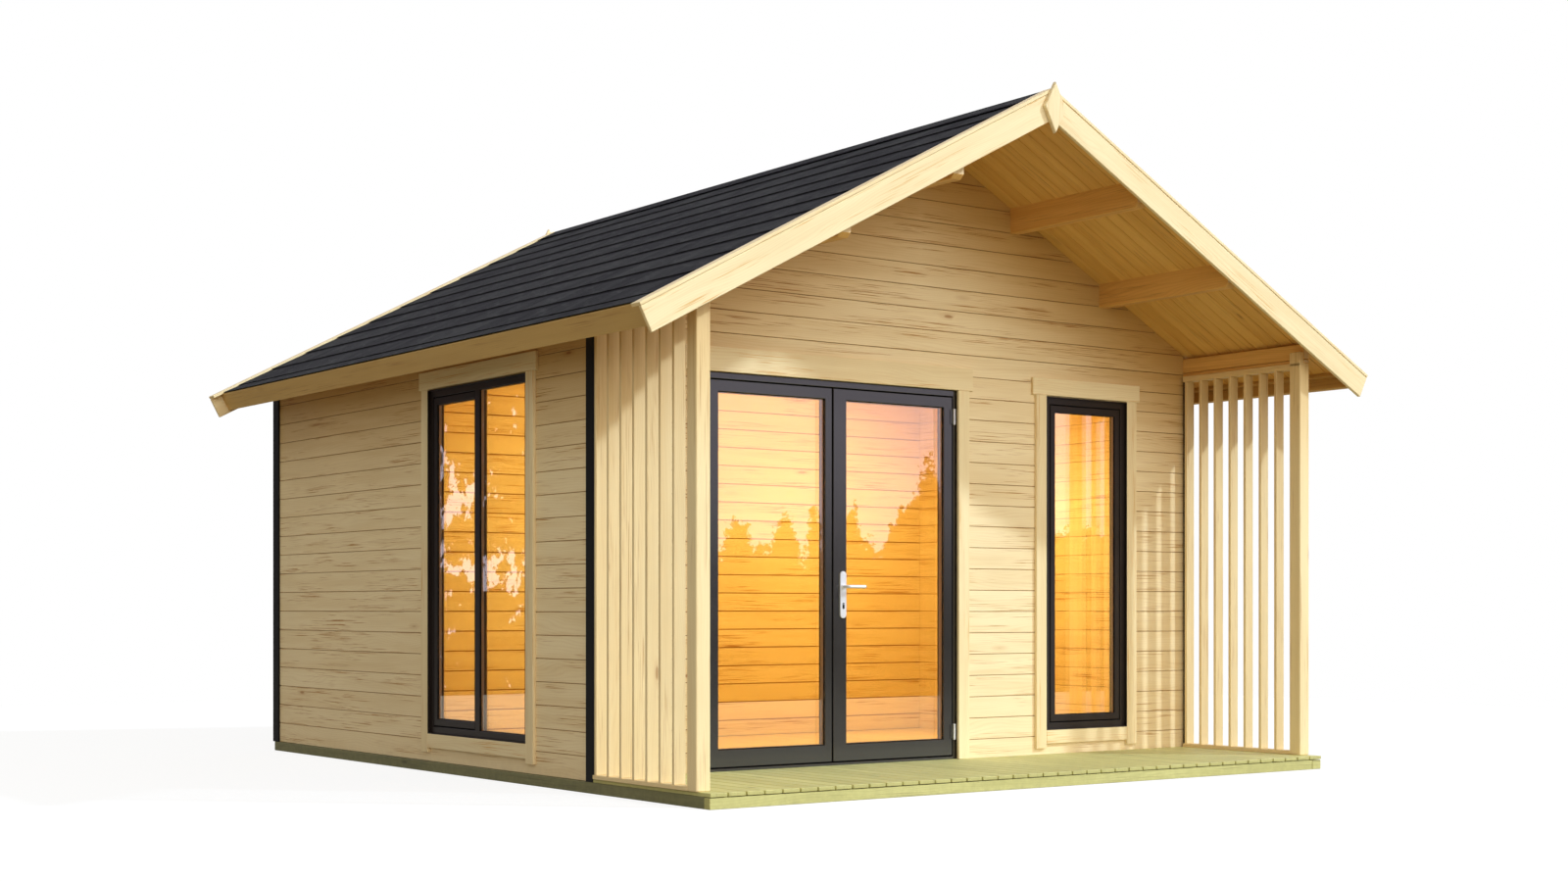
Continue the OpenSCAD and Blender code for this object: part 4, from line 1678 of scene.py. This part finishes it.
@dataclass
class Opening:
    """Boards and panes that doors and windows share."""

    plan: Plan
    face: Face
    casing_w: float = 0.076
    casing_t: float = 0.018
    head_h: float = 0.094
    head_over: float = 0.025
    sheet_t: float = 0.004
    pane_t: float = 0.024
    rebate: float = 0.012
    spacer_in: float = 0.0012
    spacer_play: float = 0.0001
    seal_in: float = 0.003
    seal_t: Span = (0.0002, 0.0045)
    seal_edge: float = 0.0012
    member_edge: float = 0.0022

    def flat(self, a: Span, z: Span, depth: Span, grain: Grain, seed: int, chamfer: float = 0.002) -> Skin:
        """One board on the wall.

        Args:
            a: its span across the wall.
            z: its span upwards.
            depth: its span behind the wall's face.
            grain: Z for an upright board, and X for a level one.
            seed: number that sets its tone.
            chamfer: size of the chamfer.

        Returns:
            The board's skin.
        """
        ends = self.plan.on(self.face)(np.stack([a, depth, z], 1))
        level = Grain.X if self.face is Face.FRONT else Grain.Y
        run = Grain.Z if grain is Grain.Z else level
        return square_boards(*np.sort(ends, 0).T, run, chamfer, seed)

    def casing(self, a: Span, foot: float, top: float, seed: int) -> list[Skin]:
        """Two legs and a wider board over them.

        Args:
            a: span of the opening.
            foot: height of the legs' feet.
            top: height of the legs' tops.
            seed: number that sets the boards' tones.

        Returns:
            The boards' skins.
        """
        w, depth = self.casing_w, (-self.casing_t, 0.0)
        head = (top + self.plan.play, top + self.head_h)
        return [
            self.flat((a[0] - w, a[0]), (foot, top), depth, Grain.Z, seed),
            self.flat((a[1], a[1] + w), (foot, top), depth, Grain.Z, seed + 1),
            self.flat(inside(a, -w - self.head_over), head, depth, Grain.X, seed + 2),
        ]

    def glazing(
        self, name: str, lights: Sequence[Rect], front: float, nodes: Sequence[str], body: str
    ) -> None:
        """Double panes: two sheets each, the spacer between their edges, and the seals on both faces.

        Args:
            name: name of the opening.
            lights: spans of each glazed opening, across and up.
            front: depth of the outer sheet.
            nodes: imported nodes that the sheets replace.
            body: body that they ride on.
        """
        place = self.plan.on(self.face)
        t, back = self.sheet_t, front + self.pane_t
        between = frame_profile(inside((front + t, back - t), self.spacer_play), 0.0008)
        near, far = self.seal_t
        sheets, spacers, seals = [], [], []
        for k, light in enumerate(lights):
            wide = shrunk(light, -self.rebate)
            sheets += [self.flat(*wide, (d, d + t), Grain.Z, 600 + k, 0.0005) for d in (front, back - t)]
            spacers.append(surround(wide, shrunk(light, self.spacer_in), between, place))
            for depth in ((front - far, front - near), (back + near, back + far)):
                strip = frame_profile(depth, self.seal_edge)
                seals.append(surround(light, shrunk(light, self.seal_in), strip, place))
        put(f"{name}_panes", sheets, Finish.PANE, nodes, body)
        put(f"{name}_spacers", spacers, Finish.SPACER, (), body)
        put(f"{name}_seals", seals, Finish.SEAL, (), body)


@dataclass
class Window(Opening):
    """Window with its frame flush with the wall and a thin lip up to its casing's face.

    A mullion, given by its distances from the frame's start, parts a fixed pane from the sash.
    """

    name: str = "front"
    mullion: Span | None = None
    frame_w: float = 0.038
    sash_w: float = 0.042
    frame_d: float = 0.050
    pane_in: float = 0.010
    groove_w: float = 0.006
    groove_d: float = 0.008
    lip: float = 0.004
    lip_edge: float = 0.0015
    sill_z: float = 0.128
    foot_z: float = 0.103
    head_up: float = 0.006

    def build(self) -> None:
        """Makes the window's pieces."""
        x, y, z = spans(f"{self.name}_window_frame")
        level, seed = (x, 0) if self.face is Face.FRONT else (y, 1)
        place = self.plan.on(self.face)
        fw, gw, d, soft = self.frame_w, self.groove_w, self.frame_d, self.lip_edge
        proud = 0.001 - self.casing_t
        lipped = [
            (0, 0.0, proud), (0, self.lip, proud), (0, self.lip, 0.0),
            (1, -soft, 0.0), (1, 0.0, soft), (1, 0.0, d), (0, 0.0, d),
        ]
        hole = (level, z)
        groove, sash, light = shrunk(hole, fw), shrunk(hole, fw + gw), shrunk(hole, fw + self.sash_w)
        skins = [surround(hole, groove, lipped, place)]
        lights = [light]
        if self.mullion:
            start, end = (level[0] + at for at in self.mullion)
            groove, sash, light = (
                ((end - less, rect[0][1]), rect[1])
                for rect, less in ((groove, 2 * gw), (sash, gw), (light, 0.0))
            )
            lights = [((level[0] + fw, start), inside(z, fw)), light]
            post = (start, end - gw - 0.0005)
            skins.append(self.flat(post, inside(z, fw - 0.002), (0.0002, d), Grain.Z, 1, 0.0018))
        skins.append(surround(sash, light, frame_profile((0.0, d - 0.002), self.member_edge), place))
        put(f"{self.name}_window_members", skins, Finish.SHADE, [f"{self.name}_window_frame"])
        seal = surround(groove, sash, frame_profile((self.groove_d, d - 0.004), 0.001), place)
        put(f"{self.name}_sash_seal", seal, Finish.SEAL)
        self.glazing(f"{self.name}_window", lights, self.pane_in, [f"{self.name}_window_glass"], "house")
        round_it = self.casing(level, self.foot_z, z[1] + self.head_up, 620 + 10 * seed)
        sill = (inside(level, 0.0002), (self.sill_z, z[0]), (-self.casing_t, 0.0))
        round_it.append(self.flat(*sill, Grain.X, 640 + seed))
        put(f"{self.name}_window_boards", round_it, Finish.BOARD, [f"{self.name}_window_casing"])


@dataclass
class DoubleDoor(Opening):
    """Glazed double door: frame, two leaves that swing outwards, hinges and handle."""

    x: float = -0.562
    half: float = 0.803
    top: float = 2.026
    head_h: float = 0.120
    jamb_w: float = 0.018
    head_w: float = 0.029
    sill_h: float = 0.014
    inset: float = 0.006
    step_in: float = 0.014
    leaf_t: float = 0.055
    gap: float = 0.006
    stop: float = 0.014
    panes: tuple[Span, Span] = ((-0.721, -0.066), (0.071, 0.721))
    pane_z: Span = (0.177, 1.935)
    glass_in: float = 0.014
    pane_t: float = 0.035
    stop_seal: float = 0.012
    soft: float = 0.0015
    overlap: float = 0.0002
    right_leg_play: float = 0.003
    hinge_z: tuple[float, float] = (0.174, 1.846)
    hinge_l: float = 0.084
    knuckles: int = 3
    knuckle_r: float = 0.0069
    knuckle_groove_r: float = 0.0060
    knuckle_tip_r: float = 0.0056
    knuckle_edge: float = 0.0012
    barrel_out: float = 0.008
    flap_t: float = 0.003
    flap_short: float = 0.004
    lever_x: float = 0.045

    def build(self) -> None:
        """Makes the door's pieces."""
        self.frame()
        place = self.plan.on(self.face)
        leaf = frame_profile((self.inset, self.inset + self.leaf_t), self.member_edge)
        for (name, side), pane in zip(SIDES, self.panes):
            body = f"{name}_leaf"
            x, _, z = spans(f"leaf_{name}")
            light = ((self.x + pane[0], self.x + pane[1]), self.pane_z)
            shell = surround((x, z), light, leaf, place)
            put(f"door_leaf_{name}", shell, Finish.FRAME, [f"leaf_{name}"], body)
            self.glazing(f"door_{name}", [light], self.inset + self.glass_in, [f"glass_{name}"], body)
            self.hinges(name, side, body)
        left, right = spans("leaf_left"), spans("leaf_right")
        across, up = (left[0][1] + 0.001, right[0][0] + 0.002), inside(right[2], 0.002)
        depth = (self.inset + 0.016, self.inset + self.leaf_t - 0.008)
        put("meeting_seal", self.flat(across, up, depth, Grain.Z, 3, 0.001), Finish.SEAL, (), "right_leaf")
        face = self.plan.front_y + self.inset
        Handle(self.x + self.lever_x, (face, face + self.leaf_t)).build()

    def frame(self) -> None:
        """Door frame with its stop, the set-back step round it, its seal, and the casing."""
        place, soft, lap = self.plan.on(self.face), self.soft, self.overlap
        x, _, z = spans("door_frame")
        outer = ((self.x - self.half, self.x + self.half), (z[0], self.top))
        inner = (inside(outer[0], self.jamb_w), (z[0] + self.sill_h, self.top - self.head_w))
        d0, d1 = self.inset, self.inset + self.leaf_t + self.gap
        back = d1 + self.stop
        profile = [
            (0, soft, d0), (1, -soft, d0), (1, 0.0, d0 + soft), (1, 0.0, d1), (1, self.stop, d1),
            (1, self.stop, back), (0, 0.0, back), (0, 0.0, d0 + soft),
        ]
        step = (self.inset + self.step_in, back)
        skins = [
            surround(outer, inner, profile, place),
            self.flat((x[0], outer[0][0] + lap), z, step, Grain.Z, 1, 0.001),
            self.flat((outer[0][1] - lap, x[1]), z, step, Grain.Z, 1, 0.001),
            self.flat(outer[0], (self.top - lap, z[1]), step, Grain.X, 1, 0.001),
        ]
        put("door_frame_members", skins, Finish.FRAME, ["door_frame"])
        strip = frame_profile((d1 - 0.005, d1 + lap), self.seal_edge)
        put("door_stop_seal", surround(inner, shrunk(inner, self.stop_seal), strip, place), Finish.SEAL)
        legs = (x[0], outer[0][1] + self.right_leg_play)
        put("door_boards", self.casing(legs, self.plan.deck_z, z[1], 650), Finish.BOARD, ["door_casing"])

    def barrel(self, foot: Sequence[float]) -> Skin:
        """Hinge barrel: knuckles with a groove at each joint.

        Args:
            foot: foot of its axis.

        Returns:
            The barrel's skin.
        """
        one, edge = self.hinge_l / self.knuckles, self.knuckle_edge
        heights, radii = [0.0], [self.knuckle_tip_r]
        for k in range(self.knuckles):
            heights += [k * one + edge, (k + 1) * one - edge, (k + 1) * one]
            radii += [self.knuckle_r, self.knuckle_r, self.knuckle_groove_r]
        radii[-1] = self.knuckle_tip_r
        return disc(foot, radii, heights, UNIT[2])

    def hinges(self, name: str, side: int, body: str) -> None:
        """Hinge barrels, and their flaps on the leaf and on the frame.

        Args:
            name: leaf's name.
            side: 1 on the right and -1 on the left.
            body: body that the barrels ride on.
        """
        face = self.plan.front_y + self.inset
        leaf = self.half - self.jamb_w - self.gap
        barrels, turning, fixed = [], [], []
        for foot in self.hinge_z:
            at = (self.x + side * (leaf + self.barrel_out), face - self.barrel_out, foot)
            barrels.append(self.barrel(at))
            z = inside((foot, foot + self.hinge_l), self.flap_short)
            on_leaf, on_frame = (leaf - 0.014, leaf + 0.004), (self.half - 0.0105, self.half - 0.001)
            for skins, ends in ((turning, on_leaf), (fixed, on_frame)):
                x = sorted(self.x + side * end for end in ends)
                skins.append(square_boards(x, (face - self.flap_t, face), z, Grain.Z, chamfer=0.0008, seed=4))
        put(f"hinge_barrels_{name}", barrels, Finish.STEEL, [f"hinges_{name}"], body, smooth=True)
        put(f"hinge_leaf_flaps_{name}", turning, Finish.FRAME, (), body)
        put(f"hinge_frame_flaps_{name}", fixed, Finish.FRAME)


Turned = tuple[tuple[float, ...], tuple[float, ...]]


@dataclass
class Handle:
    """Plates, screws and lock on both faces of the right leaf, and the two levers on their spindle.

    A turned part is given by its circles' radii and heights. A plate's edge is given by the
    depths and the insets of its rings.
    """

    x: float
    faces: Span
    lever_z: float = 0.982
    lever_l: float = 0.116
    grip_r: float = 0.009
    neck_r: float = 0.0079
    spindle_r: float = 0.005
    spindle_in: float = 0.03
    bend: float = 0.019
    tip_back: tuple[float, ...] = (0.004, 0.0022, 0.0008, 0.0)
    tip_r: tuple[float, ...] = (0.0088, 0.0080, 0.0063, 0.0042)
    plate: tuple[float, float, float] = (0.040, 0.240, 0.008)
    plate_edge: float = 0.0016
    plate_drop: float = 0.161
    sunk: float = 0.9
    lock_drop: float = 0.098
    lock_w: float = 0.0116
    lock_straight: float = 0.010
    lock_rings: Turned = ((0.0, 0.0022, 0.0030), (0.0, 0.0, 0.0008))
    pin: Turned = ((0.0030, 0.0030, 0.0022), (0.0, 0.0008, 0.0014))
    pin_up: float = 0.008
    pin_out: float = 0.0018
    screw: Turned = ((0.0042, 0.0042, 0.0032), (0.0, 0.0018, 0.0024))
    screw_in: float = 0.013
    rose: Turned = ((0.0135, 0.0135, 0.0125), (0.0, 0.0035, 0.0045))

    def build(self) -> None:
        """Makes the handle's pieces."""
        w, h, t = self.plate
        foot, key_z = self.lever_z - self.plate_drop, self.lever_z - self.lock_drop
        rings = ((0.0, t - self.plate_edge, t), (0.0, 0.0, self.plate_edge))
        sunk = self.sunk * t
        plates, lock, dark = [], [], []
        for out, face in zip((-1, 1), self.faces):

            def at(z: float, depth: float) -> tuple[float, float, float]:
                """Place in front of the leaf's face."""
                return self.x, face + out * depth, z

            axis = out * UNIT[1]
            plates.append(self.stadium(at(foot + h / 2, 0.0), w / 2, (h - w) / 2, rings, out))
            key = (at(key_z, sunk), self.lock_w / 2, self.lock_straight)
            dark.append(self.stadium(*key, self.lock_rings, out))
            lock.append(disc(at(key_z + self.pin_up, t + self.pin_out), *self.pin, axis))
            for z in inside((foot, foot + h), self.screw_in):
                lock.append(disc(at(z, sunk), *self.screw, axis))
            plates.append(disc(at(self.lever_z, sunk), *self.rose, axis))
        put("door_plates", plates, Finish.STEEL, ["handle_plates"], "right_leaf", smooth=True)
        put("door_lock_parts", lock, Finish.STEEL, (), "right_leaf", smooth=True)
        put("door_keyways", dark, Finish.SEAL, (), "right_leaf")
        ends = spans("handle_lever")[1]
        levers = [self.lever(out, face, end) for out, face, end in zip((-1, 1), self.faces, ends)]
        put("door_levers", levers, Finish.STEEL, ["handle_lever"], "lever", smooth=True)

    def lever(self, out: int, face: float, end: float) -> Skin:
        """One lever: a neck out of the leaf, a quarter bend and a grip with a rounded tip.

        Args:
            out: -1 on the front and 1 on the back.
            face: the leaf's face.
            end: how far out the lever reaches.

        Returns:
            The lever's skin.
        """
        r, bend, turn = self.grip_r, self.bend, np.linspace(0, math.pi / 2, 9)
        grip = end - out * r
        near = grip - out * bend
        straight = np.linspace(bend + 0.01, self.lever_l - 0.006, 6)
        tip = self.lever_l - np.array(self.tip_back)
        xs = np.concatenate([[0, 0, 0], bend * (1 - np.cos(turn)), straight, tip])
        neck = [face - out * self.spindle_in, face, near - out * 0.002]
        ys = np.concatenate([neck, near + out * bend * np.sin(turn), np.full(len(straight) + len(tip), grip)])
        neck_r = [self.spindle_r, self.neck_r, self.neck_r]
        radii = np.concatenate([neck_r, np.linspace(self.neck_r, r, 9), np.full(6, r), self.tip_r])
        return tube(np.stack([self.x + xs, ys, np.full(len(xs), self.lever_z)], 1), radii, UNIT[2])

    def stadium(
        self, at: tuple[float, float, float], r: float, straight: float, rings: Turned, out: int
    ) -> Skin:
        """Plate with round ends: half circles of radius r about two centres, one ring for each depth.

        Args:
            at: middle of its back.
            r: radius of the ends.
            straight: half the length between their centres.
            rings: distance of each ring from the back, and how much smaller each ring is.
            out: -1 to face the front, and 1 to face the back.

        Returns:
            The plate's skin.
        """
        a = np.linspace(0, 2 * math.pi, 40, endpoint=False) + 1e-4
        depths, insets = (np.array(values)[:, None] for values in rings)
        xs = at[0] + (r - insets) * np.cos(a)
        zs = at[2] + (r - insets) * np.sin(a) + straight * np.sign(np.sin(a))
        return sweep(np.stack(np.broadcast_arrays(xs, at[1] + out * depths, zs), -1))


# ---------------------------------------------------------------- studio


@dataclass(frozen=True)
class Tree:
    """Crown that the panes mirror: its heading in radians, and its slopes as seen from the house.

    Its outline is tall at its heading and falls to the hedge at the half width, by a power of
    the distance from the heading.
    """

    toward: float
    tall: float
    wide: float
    power: float = 2.0


@dataclass
class Studio:
    """Floor, sky, sun, room lamps and camera."""

    eye: tuple[float, float, float] = (-7.1011, -9.9956, 0.8699)
    heading: float = 36.034
    lens: float = 48.473
    sensor: float = 36.0
    lift: float = 0.1069
    farthest: float = 200.0
    to_sun: tuple[float, float, float] = (1.014, -1.0, 1.105)
    sun_power: float = 1.95
    sun_colour: Colour = (0.82, 1.0, 1.18)
    sun_angle: float = 2.4
    fill: float = 0.47
    fill_front: float = 2.45
    fill_below: float = 0.32
    fill_colour: Colour = (1.0, 0.97, 0.91)
    below_colour: Colour = (1.0, 0.93, 0.62)
    floor_half: float = 9.0
    floor_colour: Colour = (0.31, 0.275, 0.19)
    floor_shown: Colour = (0.82, 0.82, 0.82)
    floor_white: float = 1.12
    floor_share: float = 0.76
    floor_mirrored: float = 0.26
    hedge: float = 0.020
    hedge_steps: float = 0.007
    ragged: float = 0.016
    leafy: float = 0.034
    trees: tuple[Tree, ...] = (
        Tree(0.6067, 0.041, 0.0095, 2.5), Tree(0.6180, 0.030, 0.0080), Tree(0.6295, 0.045, 0.0085),
        Tree(0.6433, 0.048, 0.0050), Tree(0.6609, 0.049, 0.0055), Tree(0.6650, 0.034, 0.0110),
        Tree(0.6975, 0.074, 0.0180, 0.9), Tree(0.6955, 0.056, 0.0230, 1.8), Tree(0.7600, 0.036, 0.0500, 4.0),
    )
    mirrored_trees: Colour = (0.02, 0.02, 0.017)
    mirrored_sky: Colour = (0.98, 0.92, 1.10)
    lamp_colour: Colour = (1.0, 0.84, 0.29)
    lamp_radius: float = 0.25
    lamps: tuple[tuple[tuple[float, float, float], float], ...] = (
        ((-0.95, -0.25, 1.5), 51.0), ((0.95, -0.25, 1.5), 51.0), ((0.0, 1.6, 1.5), 56.0),
    )

    def build(self) -> None:
        """Sets the whole studio up."""
        self.camera()
        self.sun()
        self.room_lamps()
        self.floor()
        self.sky()
        bpy.context.scene.view_settings.view_transform = "Standard"

    def stood(self, name: str, data: Any) -> bpy.types.Object:
        """Puts a new camera, lamp or mesh in the scene.

        Args:
            name: name of the object.
            data: its data.

        Returns:
            The object.
        """
        made = bpy.data.objects.new(name, data)
        bpy.context.scene.collection.objects.link(made)
        return made

    def camera(self) -> None:
        """Level camera with a raised view."""
        data = bpy.data.cameras.new("camera")
        data.lens, data.sensor_width, data.shift_y = self.lens, self.sensor, self.lift
        data.clip_end = self.farthest
        camera = self.stood("camera", data)
        camera.location = self.eye
        camera.rotation_euler = (math.pi / 2, 0.0, -math.radians(self.heading))
        bpy.context.scene.camera = camera

    def sun(self) -> None:
        """Sun lamp."""
        data = bpy.data.lights.new("sun", "SUN")
        data.energy, data.angle, data.color = self.sun_power, math.radians(self.sun_angle), self.sun_colour
        self.stood("sun", data).rotation_euler = Vector(self.to_sun).to_track_quat("Z", "Y").to_euler()

    def room_lamps(self) -> None:
        """Warm lamps in the rooms, unseen themselves."""
        for k, (place, power) in enumerate(self.lamps):
            data = bpy.data.lights.new(f"room_lamp_{k}", "POINT")
            data.energy, data.color, data.shadow_soft_size = power, self.lamp_colour, self.lamp_radius
            lamp = self.stood(f"room_lamp_{k}", data)
            lamp.location = place
            lamp.visible_camera = lamp.visible_glossy = lamp.visible_transmission = False

    def floor(self) -> None:
        """Pale floor that looks white where it is lit, and keeps the house's shadow."""
        h = self.floor_half
        mesh = bpy.data.meshes.new("studio_floor")
        mesh.from_pydata([(-h, -h, 0), (h, -h, 0), (h, h, 0), (-h, h, 0)], [], [(0, 1, 2, 3)])
        plane = self.stood("studio_floor", mesh)
        plane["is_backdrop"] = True
        material, g = blank("studio_floor")
        ray = g.node("LightPath")
        bounced = g.math("GREATER_THAN", ray["Glossy Depth"], 0.5)
        straight = ray["Is Transmission Ray"] * (1.0 - bounced)
        seen = ray["Is Camera Ray"].larger(straight).larger(bounced * self.floor_mirrored)
        plain, pale = (g.node("BsdfDiffuse", {"Color": c})[0] for c in (self.floor_colour, self.floor_shown))
        white = g.node("Emission", {"Color": (1, 1, 1), "Strength": self.floor_white})[0]
        shown = g.node("MixShader", {0: self.floor_share, 1: pale, 2: white})[0]
        mixed = g.node("MixShader", {0: seen, 1: plain, 2: shown})[0]
        g.node("OutputMaterial", {"Surface": mixed})
        mesh.materials.append(material)

    def mirrored(self, g: Graph, way: Value) -> Value:
        """A garden's edge low in what the panes mirror, under a pale sky.

        The edge is where the ray's rise over its run is below the hedge's and the trees'
        outlines, roughened by noise. To the left, noise opens gaps in it instead.

        Args:
            g: the world's graph.
            way: direction of the ray.

        Returns:
            The mirrored colour.
        """
        x, y, z = g.axes(way)
        rise = z / g.math("SQRT", x * x + y * y).larger(0.01)
        turn = g.math("ARCTAN2", x, y * -1.0)
        ragged = (g.noise(way, 330.0, 4.0, 0.75) - 0.5) * self.ragged
        leaf = g.noise(way, 240.0, 5.0, 0.72) - 0.5
        outline = g.step(g.noise(g.vector(turn), 60.0, 2.0, 0.6), 0.40, 0.62) * self.hedge_steps + self.hedge
        for tree in self.trees:
            fall = (abs(turn - tree.toward + ragged) / tree.wide) ** tree.power
            outline = outline.larger((1.0 - fall) * (tree.tall - self.hedge) + self.hedge)
        open_sky = g.step(rise - (outline + leaf * self.leafy), -0.0006, 0.0008)
        low_leaves = g.step(rise, 0.002, 0.010) * g.step(rise, 0.045, 0.085, 1.0, 0.25)
        clump = g.step(g.noise(way, 34.0), 0.42, 0.62) * low_leaves
        between = g.noise(g.stretched(way, (1.0, 1.0, 0.55)), 230.0, 4.0, 0.7) + clump * 0.16 - 0.64
        leftward = g.step(x, -0.15, -0.3)
        share = open_sky * (1.0 - leftward) + g.step(between, 0.0, 0.012) * leftward
        return g.blend(share, self.mirrored_trees, self.mirrored_sky)

    def fill_light(self, g: Graph, way: Value) -> Value:
        """Plain fill light from the sky and the ground, stronger from the front.

        Args:
            g: the world's graph.
            way: direction of the ray.

        Returns:
            The light's colour and strength.
        """
        _, y, z = g.axes(way)
        above = g.step(z, -0.02, 0.02)
        ahead = (y * -1.0).larger(0.0) ** 3.0 * above * self.fill_front
        lit = g.step(z, -0.02, 0.02, self.fill_below, self.fill) + ahead
        hue = g.blend(above, self.below_colour, self.fill_colour)
        return g.blend(1.0, hue, g.vector(lit, lit, lit), "MULTIPLY")

    def sky(self) -> None:
        """White backdrop, a plain fill light, and a garden's edge in what the panes mirror."""
        world = bpy.data.worlds.new("studio")
        world.use_nodes = True
        world.node_tree.nodes.clear()
        bpy.context.scene.world = world
        g = Graph(world.node_tree)
        ray, way = g.node("LightPath"), g.place("Generated")
        bounced = g.math("GREATER_THAN", ray["Glossy Depth"], 0.5)
        straight = ray["Is Camera Ray"].larger(ray["Is Transmission Ray"])
        colour = g.blend(straight, self.fill_light(g, way), (1, 1, 1))
        sheen = bounced * ray["Is Glossy Ray"].larger(ray["Is Transmission Ray"])
        colour = g.blend(sheen, colour, self.mirrored(g, way))
        g.node("OutputWorld", {"Surface": g.node("Background", {"Color": colour, "Strength": 1.0})[0]})


def main() -> None:
    """Builds the house and its studio, and logs the number of pieces and of their triangles."""
    logging.basicConfig(level=logging.INFO, format="%(name)s: %(message)s", stream=sys.stdout)
    plan = Plan.measured()
    Studio().build()
    Base(plan).build()
    LogWalls(plan).build()
    Roof(plan).build()
    Porch(plan).build()
    DoubleDoor(plan, Face.FRONT).build()
    Window(plan, Face.FRONT, name="front").build()
    Window(plan, Face.LEFT, name="side", mullion=(0.512, 0.568)).build()
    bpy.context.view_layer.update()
    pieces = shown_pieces()
    for piece in pieces:
        piece.data.calc_loop_triangles()
    log.info("%d pieces, %d triangles", len(pieces), sum(len(piece.data.loop_triangles) for piece in pieces))


if __name__ == "__main__":
    main()
